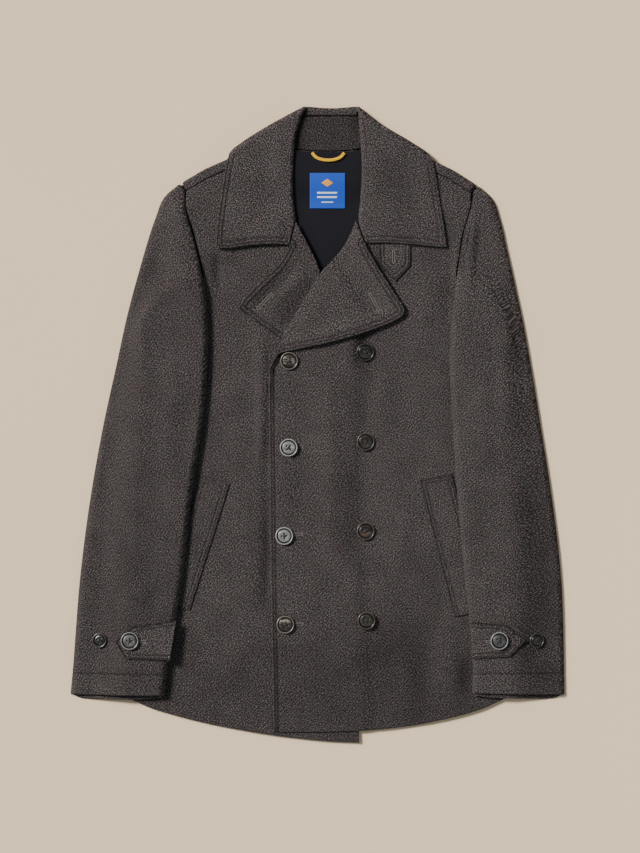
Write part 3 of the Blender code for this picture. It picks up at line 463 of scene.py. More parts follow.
def folded(creases, x, y):
    """Height that a table of creases gives at each point."""
    total = np.zeros(np.shape(x))
    for x0, y0, x1, y1, bow, height, wide in creases:
        dx, dy = x1 - x0, y1 - y0
        length = math.hypot(dx, dy)
        t = ((x - x0) * dx + (y - y0) * dy) / length**2
        inside = np.clip(t, 0, 1)
        away = ((x - x0) * -dy + (y - y0) * dx) / length - bow * 4 * inside * (1 - inside)
        fade = smooth(inside / 0.3 + 0.15) * smooth((1 - inside) / 0.3 + 0.15)
        total += height * fade * bell(np.hypot(away, (t - inside) * length), wide)
    return total


SWELLS = ((0.3, 1.0), (1.5, 1.27), (2.4, 0.83), (0.9, 1.61), (2.9, 0.71))  # direction and length


def uneven(x, y, size, turn):
    """Soft unevenness of pressed wool, about -1 to 1, with swells about `size` across."""
    total = np.zeros(np.shape(x))
    for k, (angle, longer) in enumerate(SWELLS):
        wave = 2 * math.pi / (size * 2 * longer)
        along_it = x * math.cos(angle + turn) + y * math.sin(angle + turn)
        total += np.sin(wave * along_it + 1.7 * k + 5 * turn) * longer**0.5
    return total / 3.2


def darkened(hollows, x, y):
    return sum(dark * bell(x - cx, wide) * bell(y - cy, high)
               for cx, cy, wide, high, dark in hollows)


def body_drape(x, y):
    """The body's own relief, shared by all its layers so that they stay on each other."""
    relief = folded(BODY_CREASES, x, y) + 0.6 * uneven(x, y, 50, 0.4) + 0.25 * uneven(x, y, 23, 1.1)
    collar = smooth((y - 300) / 40)
    hem = smooth((-230 - y) / 170)
    return np.clip((relief + 0.8) * (1 - 0.8 * collar) - 2.0 * hem, -2.1, 5.0)


def body_shade(x, y):
    """Painted shade in the hollows, and towards the hem where the light falls off, from 0 to 1."""
    low = smooth((-200 - y) / 200) * (0.6 + 0.4 * smooth((x + 40) / 120))
    return darkened(BODY_HOLLOW_SHADE, x, y) + 0.32 * low


def under_front_height(x, y):
    return neck_rise(x, y) + FRONT + body_drape(x, y)


def over_front_height(x, y, further=0.0):
    return under_front_height(x, y) + OVER_STEP * over_rise(x, y, further)


# --- Meshes ---

made_pieces = {}


def put(name, mesh):
    """The mesh as a piece of the scene, at the origin."""
    piece = made_pieces[name] = bpy.data.objects.new(name, mesh)
    bpy.context.scene.collection.objects.link(piece)
    return piece


def solid(name, verts, faces):
    """A smooth piece of corners in millimetres, and its faces."""
    mesh = bpy.data.meshes.new(name)
    mesh.from_pydata((np.array(verts) * MM).tolist(), [], faces)
    mesh.shade_smooth()
    return put(name, mesh)


def dress(piece, material, node=None):
    """Gives a piece its finish and puts it under the root; the solid that it stands for is hidden."""
    if not piece.data.materials:
        piece.data.materials.append(material)
    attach(piece, "root")
    if node:
        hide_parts(node)


def evaluated(piece):
    """The piece's mesh with its modifiers applied; the piece itself goes."""
    shown = piece.evaluated_get(bpy.context.evaluated_depsgraph_get())
    mesh = bpy.data.meshes.new_from_object(shown)
    bpy.data.objects.remove(piece)
    return mesh


def shell(name, mid, half, cells=None, furrow_and_shade=0.0, grain_turn=0.0):
    """A closed thin piece: a middle surface with half its thickness on each side.

    cells says which cells of the grid it fills, and the darkening argument, from 0 to 1, how dark the
    cloth is painted: furrows of topstitching, partly pressed nap and partly painted shade in their
    grooves, and painted shade in hollows, along seams and edges. The map "grain" is where each point
    lies on the cloth, in millimetres.
    """
    rows, cols = mid.shape[:2]
    around = np.zeros((rows + 1, cols + 1), bool)
    around[1:-1, 1:-1] = True if cells is None else cells
    inside = around[:-1, :-1] & around[1:, :-1] & around[:-1, 1:] & around[1:, 1:]
    half = np.where(inside, half, 0.0)[..., None]
    normal = np.cross(np.gradient(mid, axis=1), np.gradient(mid, axis=0))
    normal /= np.linalg.norm(normal, axis=2)[..., None] + 1e-9
    verts = np.concatenate([mid + normal * half, mid - normal * half]).reshape(-1, 3)
    upper = np.arange(rows * cols).reshape(rows, cols)
    under = np.where(inside, upper + rows * cols, upper)
    r, c = np.nonzero(around[1:-1, 1:-1])
    upper, under = (
        np.stack([layer[r, c], layer[r, c + 1], layer[r + 1, c + 1], layer[r + 1, c]], axis=1)
        for layer in (upper, under))
    faces = np.concatenate([upper, under[:, ::-1]])
    used, index = np.unique(faces, return_inverse=True)
    faces = index.reshape(faces.shape)
    piece = solid(name, verts[used], faces.tolist())
    turn = np.array([[math.cos(grain_turn), -math.sin(grain_turn)],
                     [math.sin(grain_turn), math.cos(grain_turn)]])
    flat = ((verts[:, :2] + verts[:, 2:]) @ turn)[used]  # height counts too, for what stands upright
    layer = piece.data.uv_layers.new(name="grain")
    layer.data.foreach_set("uv", flat[faces.ravel()].ravel())
    furrow_and_shade_layer = piece.data.attributes.new("furrow_and_shade", "FLOAT", "POINT")
    furrow_and_shade_layer.data.foreach_set("value", np.tile((furrow_and_shade + np.zeros((rows, cols))).ravel(), 2)[used])
    return piece


def lay(piece, mid, node, material, cells=...):
    dress(piece, material, node)
    length = max(run_of(column)[-1] for column in mid.swapaxes(0, 1)) * MM
    area = np.cross(mid[1:, 1:] - mid[:-1, :-1], mid[1:, :-1] - mid[:-1, 1:])
    area = float(np.linalg.norm(area, axis=2)[cells].sum()) / 2 * MM * MM


def stitch_press(d, rows_at):
    """Depth share of the furrows that rows of topstitching press into the cloth."""
    return sum((bell(d - at, FURROW) for at in rows_at), np.zeros(np.shape(d)))


def flat_piece(node, cut, under, thick, step, material, stitched=(), rows_at=(), shade=None,
               turn=0.0, painted_shading=1.0, name=None):
    """A piece that lies in layers: its plan, rounded edges and furrows under the topstitching.
    shade(x, y) is the painted shade on it, from 0 to 1, and the painted-shading weight how dark the
    furrows are painted: partly pressed nap and partly painted shade in their grooves."""
    plan = fine_plan(cut, step, stitched)
    x, y = plan[..., 0], plan[..., 1]
    half = 0.5 * thick * rounded(from_edges(plan, cut), 0.6 * thick)
    furrow_and_shade = stitch_press(from_edges(plan, cut, stitched), rows_at)
    mid = np.dstack([plan, under(x, y) + thick / 2 - furrow_and_shade / 2])
    half = half - furrow_and_shade / 2 * (half > 0.3 * thick)
    furrow_and_shade = furrow_and_shade * painted_shading + (shade(x, y) if shade else 0)
    piece = shell(name or node + "_cloth", mid, half, furrow_and_shade=furrow_and_shade, grain_turn=turn)
    lay(piece, mid, node, material)


# --- Body, lapels and lining ---


def make_back(wool):
    """The back, whose shoulders turn over their fold and end in the shoulder seams."""
    run = run_of(np.array(BACK_CUT["top"], float))
    neck_start, neck_end = run[3] / run[-1], run[9] / run[-1]
    u = np.unique(np.concatenate([
        np.linspace(0, neck_start, 34), np.linspace(neck_start, neck_end, 20),
        np.linspace(neck_end, 1, 34),
    ]))
    v = np.unique(np.concatenate([np.linspace(0, 1, 110), [0.0006, 0.002, 0.004]]))
    plan = patch(BACK_CUT, u[None, :], v[:, None])
    outer = (FRONT + WOOL) / 2
    turn = outer - WOOL / 2
    line = plan[-1]
    into = inward(line)
    neck = (u > neck_start + 1e-4) & (u < neck_end - 1e-4)
    lower = np.clip(outer - distance(plan, line), 0, None)
    lower = lower * smooth((v[:, None] - 0.9) / 0.1) * ~neck
    plan = plan + into[None] * lower[..., None]
    rise = neck_rise(plan[..., 0], plan[..., 1])
    base = rise[-1]
    # Each row of the shoulder's share: its distance from the fold and its height.
    insets = np.linspace(outer, SHOULDER_WRAP, 6)
    section = [(outer - turn * math.cos(angle), outer + turn * math.sin(angle))
               for angle in np.radians(np.linspace(-75, 90, 8))]
    section += [(inset, outer + turn) for inset in insets[1:]]
    rows = np.array([np.column_stack([line + into * inset, base + high])
                     for inset, high in section])
    turned = smooth((rows[..., 2] - base - WOOL) / WOOL)
    rows[..., 2] += body_drape(rows[..., 0], rows[..., 1]) * turned
    mid = np.concatenate([np.dstack([plan, rise + WOOL / 2]), rows])
    cells = np.ones((len(mid) - 1, len(u) - 1), bool)
    cells[len(v) - 1 :] = ~(neck[:-1] | neck[1:])
    outline = np.concatenate([edge(BACK_CUT, "left"), edge(BACK_CUT, "right")[::-1]])
    rim = distance(mid, outline, edge(BACK_CUT, "low"))
    rim[len(v) :] = 9.0
    rim[-5:] = (SHOULDER_WRAP - insets[1:])[:, None]
    piece = shell("back_cloth", mid, 0.5 * WOOL * rounded(rim, 1.5), cells)
    lay(piece, mid, "back", wool, cells)


def make_fronts(wool):
    def height(layer, side):
        """The layer's height, which comes down to the back near its side seam, below the armpit."""
        def at(x, y):
            near = smooth(1 - distance(np.dstack([x, y]), side) / 16.0)
            return layer(x, y) - (BODY_HOLLOW - SEAM) * near * smooth((190 - y) / 40)
        return at

    flat_piece(
        "front_right", UNDER_FRONT_CUT, height(under_front_height, edge(UNDER_FRONT_CUT, "left")),
        WOOL, 4.2, wool, ("low",), (), body_shade,
    )
    flat_piece(
        "front_left", OVER_FRONT_CUT, height(over_front_height, edge(OVER_FRONT_CUT, "right")),
        WOOL, 3.9, wool, ("left",), CLOSE_ROWS, body_shade,
    )


def lapel_right_height(x, y):
    """The under lapel is pressed on its front; its free edges stand off a little."""
    points = np.dstack([x, y])
    low = from_edges(points, UNDER_LAPEL_CUT, ["low"]) + 30 * smooth((x + 62) / 20)
    away = np.minimum(from_edges(points, UNDER_LAPEL_CUT, ["left"]), low)
    resting = under_front_height(x, y) + WOOL + SEAM + 0.7 * (1 - smooth(away / 26)) ** 1.5
    return resting + np.clip(folded(UNDER_LAPEL_CREASES, x, y) + 1.8, 0, 4)


def lapel_left_height(x, y):
    """The over lapel lies on its front, and its free edge stands off."""
    points = np.dstack([x, y])
    low = from_edges(points, OVER_LAPEL_CUT, ["low"]) + 14 * smooth((20 - x) / 60)
    free = 1 - smooth(np.minimum(from_edges(points, OVER_LAPEL_CUT, ["right"]), low) / 30)
    resting = over_front_height(x, y, 20.0) + WOOL + SEAM + LAPEL_LIFT * free
    return resting + np.clip(folded(OVER_LAPEL_CREASES, x, y) + 0.5, 0, 4)


def make_lapels(wool):
    flat_piece(
        "lapel_right", UNDER_LAPEL_CUT, lapel_right_height, WOOL, 3.0, wool,
        ("left", "low"), EDGE_ROWS,
        # Darker all over, and painted shade in the hollows of its creases.
        lambda x, y: 0.17 + 0.07 * np.clip(-folded(UNDER_LAPEL_CREASES, x, y), 0, 3), turn=0.75,
    )
    flat_piece(
        "lapel_left", OVER_LAPEL_CUT, lapel_left_height, WOOL, 3.2, wool,
        ("right", "low"), EDGE_ROWS, turn=-0.7,
    )


def make_lining(satin, damask, orange, white):
    """The lining's neck part and its label, woven with a lozenge and three bars."""
    def height(x, y):
        return neck_rise(x, y) + WOOL + LINING_RISE + 0.25 * (1 + uneven(x, y, 34, 0.2))

    def over_lining(x, y):
        return height(x, y) + LINING + SEAM

    flat_piece("back_lining", LINING_CUT, height, LINING, 4.0, satin)
    x0, y0, x1, y1 = LABEL_BOX
    box = dict(left=halved((x0, y0), (x0, y1)), right=halved((x1, y0), (x1, y1)),
               low=[(x0, y0), (x1, y0)], top=[(x0, y1), (x1, y1)])
    flat_piece("label", box, over_lining, LABEL, 1.6, damask,
               name="neck_label")
    x = (x0 + x1) / 2
    figures = [(orange, [(x - 8, y1 - 13), (x, y1 - 18.5), (x + 8, y1 - 13), (x, y1 - 7.5)])]
    for wide, low, high in ((13.5, 19, 21.4), (13.5, 13.5, 15.9), (8, 7.5, 8.9)):
        figures.append((white, [(x - wide, y0 + low), (x + wide, y0 + low),
                                (x + wide, y0 + high), (x - wide, y0 + high)]))
    for k, (thread, corners) in enumerate(figures):
        a, b, c, d = np.array(corners, float)
        share = np.linspace(0, 1, 13)
        u, v = (grid[..., None] for grid in np.meshgrid(share, share))
        plan = (a * (1 - u) + b * u) * (1 - v) + (d * (1 - u) + c * u) * v
        rim = np.minimum(np.minimum(u, 1 - u), np.minimum(v, 1 - v))[..., 0]
        top = over_lining(plan[..., 0], plan[..., 1]) + LABEL + 0.05
        piece = shell(f"label_weave_{k}", np.dstack([plan, top]), 0.1 * rounded(rim, 0.2))
        dress(piece, thread)


# --- Collar ---

STAND_WALL = 6  # lines of the grid round a roll
EDGE_COLUMNS = STAND_WALL + 2  # and with the two at the roll's lower edge
FAR = 60.0  # stands for a point that lies away from every edge


def leaf_grid(cut, lift):
    """Middle surface of a collar leaf, its roll's wall included, and each point's distance from the
    sewn edges and from the lower one."""
    fold = edge(cut, "top")
    turned = (NECK_STEP + FRONT + WOOL + SEAM + COLLAR) / 2 - 0.4  # the neck's fold takes this much
    plan = fine_plan(cut, 3.4, ("low", "right"), lambda points: distance(points, fold) - turned)
    x, y = plan[..., 0], plan[..., 1]
    low, side, roll = (from_edges(plan, cut, [name]) for name in ("low", "right", "left"))
    free = (1 - smooth(low / 95)) * (0.35 + 0.65 * smooth(roll / 26))
    height = neck_rise(x, y) + FRONT + WOOL + SEAM + COLLAR / 2
    height += body_drape(x, y) * smooth((300 - y) / 60)
    height += lift(x) * free + folded(LEAF_CREASES, x, y) + 0.3 * uneven(x, y, 30, 0.7) + 0.3
    # The roll: an arc down from the leaf, and a wall as far as the lining.
    line, over = plan[:, 0], height[:, 0]
    into = unit(plan[:, 4] - line)
    over_lining = neck_rise(line[:, 0], line[:, 1]) + LIP + 0.8
    notch = smooth(low[:, 0] / 34)
    bottom = over_lining * notch + (over - 1.6) * (1 - notch)
    bend = np.minimum(4.2, over - bottom)
    walls = []
    for angle in np.radians(90 * np.arange(STAND_WALL) / STAND_WALL):
        across = COLLAR / 2 + bend * (1 - math.cos(angle))
        high = over - bend * (1 - math.sin(angle))
        walls.append(np.column_stack([line + into * across[:, None], high]))
    reach = COLLAR / 2 + bend[:, None]
    shift = np.clip(1 - roll / (reach + 12), 0, 1)
    leaf = np.dstack([plan + into[:, None] * (reach * shift)[..., None], height])
    lip = np.column_stack([line + into * COLLAR / 2, bottom])
    rim = np.stack([lip, lip * 0.7 + walls[0] * 0.3, *walls], axis=1)
    grid = np.concatenate([rim, leaf], axis=1)
    ahead = ((0, 0), (EDGE_COLUMNS, 0))
    sewn = np.pad(np.minimum(low, side), ahead, constant_values=FAR)
    return grid, sewn, np.pad(low, ahead, mode="edge")


def matched(values, count):
    """The same rows with `count` columns; those of the roll's wall stay."""
    head, body = values[:, :EDGE_COLUMNS], values[:, EDGE_COLUMNS:]
    at = np.linspace(0, body.shape[1] - 1, count - EDGE_COLUMNS)
    low = np.minimum(at.astype(int), body.shape[1] - 2)
    t = (at - low).reshape(-1, *[1] * (values.ndim - 2))
    return np.concatenate([head, body[:, low] * (1 - t) + body[:, low + 1] * t], axis=1)


def neck_fold(start, end, cut, share):
    """Rows between a leaf's last row and the back part's first, round the fold's line."""
    line = edge(cut, "top")
    place = run_of(line) / run_of(line)[-1]
    between = (start[:, :2] + end[:, :2]) / 2
    fold = np.column_stack([np.interp(share, place, line[:, k]) for k in (0, 1)])
    toward = between[EDGE_COLUMNS:] - fold
    fold += toward / (np.linalg.norm(toward, axis=1)[:, None] + 1e-6) * COLLAR / 2
    shares = np.linspace(0, 0.5, EDGE_COLUMNS)[::-1, None]
    fold = np.concatenate([fold[:1] * (1 - shares) + between[:EDGE_COLUMNS] * shares, fold])
    middle = (start[:, 2] + end[:, 2]) / 2
    rows = []
    for t in np.linspace(0, 1, 9)[1:-1]:
        out = math.sin(math.pi * t)
        flat = (start * (1 - t) + end * t)[:, :2]
        high = middle + (start[:, 2] - middle) * math.cos(math.pi * t)
        rows.append(np.column_stack([flat * (1 - out) + fold * out, high]))
    return np.array(rows)


def stand_shade(x, y):
    """Painted shade on the stand, darkest beside the neck's folds, which shade it."""
    beside = smooth((-14 - x) / 14) + 0.6 * smooth((x - 36) / 14) * smooth((y - 370) / 20)
    return 0.52 + 0.4 * np.clip(beside, 0, 1)


def make_collar(wool):
    """The fall is one band: leaf, neck fold, back part, neck fold, leaf. The stand is inside it."""
    leaves = (leaf_grid(RIGHT_LEAF_CUT, lambda x: EDGE_LIFT),
              leaf_grid(LEFT_LEAF_CUT,
                        lambda x: EDGE_LIFT * (0.66 - 0.42 * smooth((x - 122) / 38))))
    count = max(grid.shape[1] for grid, _, _ in leaves)
    (right, right_sewn, right_end), (left, left_sewn, left_end) = (
        [matched(values, count) for values in leaf] for leaf in leaves)
    # Back part, on the floor: from the stand seam over the top fold and down to its lower edge.
    share = run_of(right[-1, EDGE_COLUMNS:])
    share = share / share[-1]
    plan = patch(FALL_BACK_CUT, np.linspace(0.02, 0.98, 46)[:, None], share[None, :])
    x, top_y = plan[:, 0].T
    turn = NECK_STEP / 2
    section = [(y + 0 * x, NECK_STEP + COLLAR / 2) for y in (STAND_SEAM_Y, STAND_SEAM_Y + 1.6)]
    section += [(top_y - turn - COLLAR / 2 + turn * math.cos(a),
                 COLLAR / 2 + turn + turn * math.sin(a))
                for a in np.radians(90 - 180 * (np.arange(STAND_WALL) + 0.5) / STAND_WALL)]
    walls = [np.column_stack([x, y, z + 0 * x]) for y, z in section]
    lying = np.dstack([plan, np.full(plan.shape[:2], COLLAR / 2)])
    lying[..., 1] -= (turn + COLLAR / 2) * np.clip(1 - share * 12, 0, 1)
    back = np.concatenate([np.stack(walls, axis=1), lying], axis=1)
    folds = [neck_fold(right[-1], back[0], RIGHT_LEAF_CUT, share),
             neck_fold(left[-1], back[-1], LEFT_LEAF_CUT, share)[::-1]]
    band = np.concatenate([right, folds[0], back, folds[1], left[::-1]])
    far = np.full((len(band) - len(right) - len(left), count), FAR)
    sewn = np.concatenate([right_sewn, far, left_sewn[::-1]])
    end = np.concatenate([right_end, far, left_end[::-1]])
    runs = np.array([run_of(row) for row in band])
    rim = np.minimum.reduce([sewn, end, runs, runs[:, -1:] - runs])
    furrow_and_shade = stitch_press(sewn, EDGE_ROWS) * (1 - 0.4 * smooth((band[..., 0] - 125) / 10))
    shade = darkened(LEAF_HOLLOW_SHADE, band[..., 0], band[..., 1])
    half = 0.5 * COLLAR * rounded(rim, 1.8)
    furrow = 1.1 * furrow_and_shade * (half > 0.3 * COLLAR)
    band[..., 2] -= furrow / 2
    piece = shell("collar_fall_cloth", band, half - furrow / 2, furrow_and_shade=furrow_and_shade + shade, grain_turn=0.15)
    lay(piece, band, "collar_fall", wool)
    flat_piece(
        "collar_stand", STAND_CUT, lambda x, y: NECK_STEP + 0.3 * (1 + uneven(x, y, 22, 0.5)),
        WOOL, 3.0, wool, shade=stand_shade,
    )


# --- Sleeves ---


def sleeve_slope(outer_x, body_x, width):
    """Where, from its outer edge, a section leaves the floor and where it lies on the body."""
    edge_at = abs(outer_x - body_x)
    foot = min(max(edge_at - SLOPE, 0.2 * width if width < NARROW else 6.0), 0.35 * width)
    return foot, min(max(edge_at + 3.0, foot + 0.1 * width), 0.8 * width)


def upper_section(row):
    """Middle surface of a sleeve's upper layer at one section, from the outer edge inwards."""
    outer, inner = row[:2], row[2:4]
    body_x, lift, free = row[4:]
    free = min(max(free, 0.0), 1.0)
    width = np.linalg.norm(inner - outer)
    foot, top = sleeve_slope(outer[0], body_x, width)
    if outer[0] > 0:
        foot = max(0.25 * foot, min(foot, 5.0))
    narrow = min(width / NARROW, 1.0)
    turn = EDGE_TURN * narrow
    half = WOOL / 2
    start, end = half * narrow, width - half * free
    round_end = np.sin(np.linspace(0, math.pi / 2, 10)) ** 2
    d = np.concatenate([
        start + turn * round_end[:-1], np.linspace(start + turn, end - turn, 34),
        end - turn * round_end[::-1][1:],
    ])
    base = WOOL + SLEEVE_HOLLOW + half
    high = base + (lift + half - base) * smooth((d - foot) / (top - foot))
    low = high * (1 - free) + (min(SLEEVE_STEP, max(lift - 3.0, FRONT)) + 0.4) * free
    z = 0.5 + (high - 0.5) * rounded(d - start, turn)
    z = np.where(d > width / 2, low + (high - low) * rounded(end - d, turn), z)
    return np.column_stack([outer + np.outer(d / width, inner - outer), z])


def make_sleeve(side, wool):
    run = run_of(np.array(SLEEVES[side])[:, :2])
    far = np.arange(6.0, run[-1], 4.4)
    far = far[(np.abs(far - CUFF_ROW) > 3) & (run[-1] - far > 1.5)]
    row_lines = CUFF_ROW + np.array([-2.4, -1.4, -0.7, 0, 0.7, 1.4, 2.4])
    places = np.sort(np.concatenate([PLAIN, row_lines, far, [run[-1] - 0.6, run[-1]]]))
    rows = through(SLEEVES[side], np.interp(places, run, np.arange(len(run))))
    if side == "right":
        stand_off = smooth((298 - rows[:, 3]) / 24)
        head = smooth((298 - rows[:, 3]) / 50) * smooth((rows[:, 3] - 150) / 40)
        rows[:, 5] += SLEEVE_STAND * stand_off + HEAD_STAND * head
        rows[:, 6] = np.maximum(rows[:, 6], stand_off)
    mid = np.array([upper_section(row) for row in rows])
    x, y = mid[..., 0], mid[..., 1]
    relief = folded(SLEEVE_CREASES, x, y)
    relief += 0.55 * uneven(x, y, 40, 0.9) + 0.25 * uneven(x, y, 19, 0.3)
    middle_run = run_of(mid[40])
    off_edge = smooth(np.minimum(middle_run, middle_run[-1] - middle_run) / 26)
    body_side = np.clip((mid[..., 2] - 6.6) / 6.0, 0, 1)
    mid[..., 2] += np.clip(relief + 0.6, -0.4, 3) * off_edge
    mid[..., 2] += np.clip(body_drape(x, y), -0.6, 5) * body_side
    up = places[:, None]
    across = np.array([run_of(row) for row in mid])
    inner = across[:, -1:] - across
    rim = np.minimum(np.minimum(up, up[-1] - up), np.minimum(across, inner))
    furrow = bell(up - CUFF_ROW, FURROW)
    # Painted shade in hollows and along the seam to the front; the furrow's is partly pressed nap.
    seam_shade = 0.7 * bell(inner, 1.5) * (rows[:, 6:7] < 0.5)
    furrow_and_shade = 0.85 * furrow + darkened(SLEEVE_HOLLOW_SHADE, x, y) + seam_shade
    half = np.clip(0.5 * WOOL * rounded(rim, 1.5) - 0.3 * furrow, 0, None)
    mid[..., 2] -= 0.3 * furrow
    piece = shell(f"sleeve_{side}_upper_cloth", mid, half, furrow_and_shade=furrow_and_shade,
                  grain_turn=0.12 if side == "right" else -0.12)
    lay(piece, mid, f"sleeve_{side}_upper", wool)


def make_under_sleeve(side, wool):
    """The layer on the floor. Its outer strip runs on up to the sleeve head."""
    back_x, back_y = np.array(BACK_CUT["left" if side == "right" else "right"][3:], float).T
    clear = WOOL + SEAM
    coarse = []
    for k, row in enumerate(np.array(SLEEVES[side][: STRIP_TOP + 1])):
        outer, inner = row[:2], row[2:4]
        width = np.linalg.norm(inner - outer)
        if k <= UNDER_TOP:
            foot, top = sleeve_slope(row[0], row[4], width)
            foot = max(foot, clear + 4.0)
            d = [clear, (clear + foot) / 2, foot, top, (top + width - clear) / 2, width - clear]
            z = [0, 0, 0, SLEEVE_STEP, SLEEVE_STEP, SLEEVE_STEP]
        else:
            reach = abs(row[0] - np.interp(row[1], back_y, back_x)) - SEAM - 0.8
            d = [clear, (clear + reach) / 2, reach, reach + 1, reach + 2, reach + 3]
            z = [0] * 6
        coarse.append(np.column_stack([outer + np.outer(np.array(d) / width, inner - outer), z]))
    coarse = np.array(coarse)
    down = (coarse[0] - coarse[1]) * (1, 1, 0)
    mouth = np.array([0.0, 0.75, 1.0, 1.0, 0.9, 0.55])  # it hangs lowest in the mouth's middle
    coarse[0] += unit(down) * (mouth * CUFF_BACK_DROP)[:, None]
    places = np.concatenate([[0, 0.004, 0.012, 0.03, 0.06], np.arange(0.1, STRIP_TOP + 0.001, 0.1)])
    u = np.linspace(0, 1, 41)
    lines = np.array([through(coarse[:, c], places) for c in range(6)])
    spread = np.array([through(lines[:, r], u * 5, (2, 3)) for r in range(len(places))])
    spread[..., 2] = WOOL / 2 + 0.05 + np.clip(spread[..., 2], 0, None)
    cells = np.ones((len(places) - 1, len(u) - 1), bool)
    cells[np.ix_(places[:-1] >= UNDER_TOP - 0.01, u[:-1] >= 0.399)] = False
    across = np.array([run_of(row) for row in spread])
    up = run_of(spread[:, 8])[:, None]
    rim = np.minimum(np.minimum(across, across[:, -1:] - across), up)
    piece = shell(f"sleeve_{side}_under_cloth", spread, 0.5 * WOOL * rounded(rim, 1.5), cells)
    lay(piece, spread, f"sleeve_{side}_under", wool, cells)


# --- Flaps ---


def top_of(piece, x, y):
    """Height of a finished cloth's upper face at points in plan; nan where there is none."""
    tree = BVHTree.FromObject(made_pieces[piece + "_cloth"], bpy.context.evaluated_depsgraph_get())
    found = np.full(np.shape(x), np.nan)
    for at in np.ndindex(found.shape):
        hit = tree.ray_cast(Vector((x[at] * MM, y[at] * MM, 0.1)), Vector((0, 0, -1)))[0]
        if hit is not None:
            found[at] = hit.z / MM
    return found


FLAPS = (
    # node, the cloth below, finish, turn of the grain, stitched edges, how dark its outline's painted
    # shade is
    ("pocket_welt_right", "front_right", "twill", 0.3, ("left", "top", "right"), 0.3),
    ("pocket_welt_left", "front_left", "twill", -0.3, ("left", "top", "right"), 0.7),
    ("throat_tab", "front_left", "felted", 0.0, ("left", "low", "right"), 0.8),
    ("cuff_tab_right", "sleeve_right_upper", "felted", 0.5, ("low", "right", "top"), 0.8),
    ("cuff_tab_left", "sleeve_left_upper", "felted", -0.5, ("low", "right", "top"), 0.8),
)


def make_flaps(wools):
    for name, base, wool, turn, stitched, dark in FLAPS:
        cut = FLAP_CUTS[name]

        def under(x, y, base=base):
            z = top_of(base, x, y)
            level = np.nanmedian(z)
            return np.maximum(np.where(np.isnan(z), level, z), level - 0.6) + SEAM

        def outline(x, y, cut=cut, sides=stitched + ("low",), dark=dark):
            """Painted shade along the flap's outline, where its edges meet the cloth below."""
            return dark * bell(from_edges(np.dstack([x, y]), cut, sides), 1.3)

        flat_piece(name, cut, under, FLAP, 2.6, wools[wool], stitched, FLAP_ROWS,
                   outline, turn=turn, painted_shading=0.9 * dark)


# --- Topstitching and buttonholes ---


def stitched_row(cut, sides, at):
    """A row of topstitching at a distance inside a chain of edges, mitred at the corners."""
    chain = [edge(cut, side.strip("-"))[:: -1 if side.startswith("-") else 1] for side in sides]
    chain = np.concatenate([chain[0], *[line[1:] for line in chain[1:]]])
    run = run_of(chain)
    fine = np.arange(0, run[-1], 1.2)
    line = np.column_stack([np.interp(fine, run, chain[:, k]) for k in (0, 1)])
    centre = patch(cut, 0.5, 0.5)
    into = inward(line)
    if np.sum((line + into - centre) ** 2) > np.sum((line - into - centre) ** 2):
        into = -into
    row = line + into * at
    return row[from_edges(row, cut, [side.strip("-") for side in sides]) > at - 0.12]


def stitch_tree():
    """Geometry Nodes: a row of stitches along the edges of a mesh line."""
    tree = bpy.data.node_groups.new("row_of_stitches", "GeometryNodeTree")
    face = tree.interface
    face.new_socket("Geometry", in_out="INPUT", socket_type="NodeSocketGeometry")
    for name in ("Spacing", "Stitch length", "Thread", "Turn"):
        face.new_socket(name, in_out="INPUT", socket_type="NodeSocketFloat")
    face.new_socket("Finish", in_out="INPUT", socket_type="NodeSocketMaterial")
    face.new_socket("Geometry", in_out="OUTPUT", socket_type="NodeSocketGeometry")
    given = add(tree, "NodeGroupInput").outputs
    curve = add(tree, "GeometryNodeMeshToCurve", {"Mesh": given["Geometry"]})
    points = add(tree, "GeometryNodeResampleCurve", {"Curve": curve, "Length": given["Spacing"]},
                 mode="LENGTH")
    thread = add(tree, "GeometryNodeMeshUVSphere", {"Segments": 6, "Rings": 4, "Radius": 0.5})
    size = add(tree, "ShaderNodeCombineXYZ",
               {"X": given["Stitch length"], "Y": given["Thread"], "Z": given["Thread"]})
    tangent = add(tree, "GeometryNodeInputTangent")
    facing = add(tree, "FunctionNodeAlignEulerToVector", {"Vector": tangent}, axis="X")
    turned = add(tree, "ShaderNodeCombineXYZ", {"Z": given["Turn"]})
    turn = add(tree, "FunctionNodeRotateEuler", {"Rotation": facing, "Rotate By": turned},
               space="LOCAL")
    placed = add(tree, "GeometryNodeInstanceOnPoints",
                 {"Points": points, "Instance": thread, "Rotation": turn, "Scale": size})
    whole = add(tree, "GeometryNodeRealizeInstances", {"Geometry": placed})
    dyed = add(tree, "GeometryNodeSetMaterial", {"Geometry": whole, "Material": given["Finish"]})
    smoothed = add(tree, "GeometryNodeSetShadeSmooth", {"Geometry": dyed})
    add(tree, "NodeGroupOutput", {"Geometry": smoothed})
    return tree


# Stitches: spacing, length and thickness. The topstitching thread is about twice as thick as a real
# one, so that it shows.
TOPSTITCH, HOLE_EDGE, HOLE_BAR = (3.7, 2.6, 0.95), (0.7, 1.15, 0.62), (0.5, 1.6, 0.5)
# The slit's dark thread is painted shade of the open cut.
HOLE_SLIT_SHADE, TACK = (1.0, 1.6, 1.4), (0.5, 2.2, 0.55)


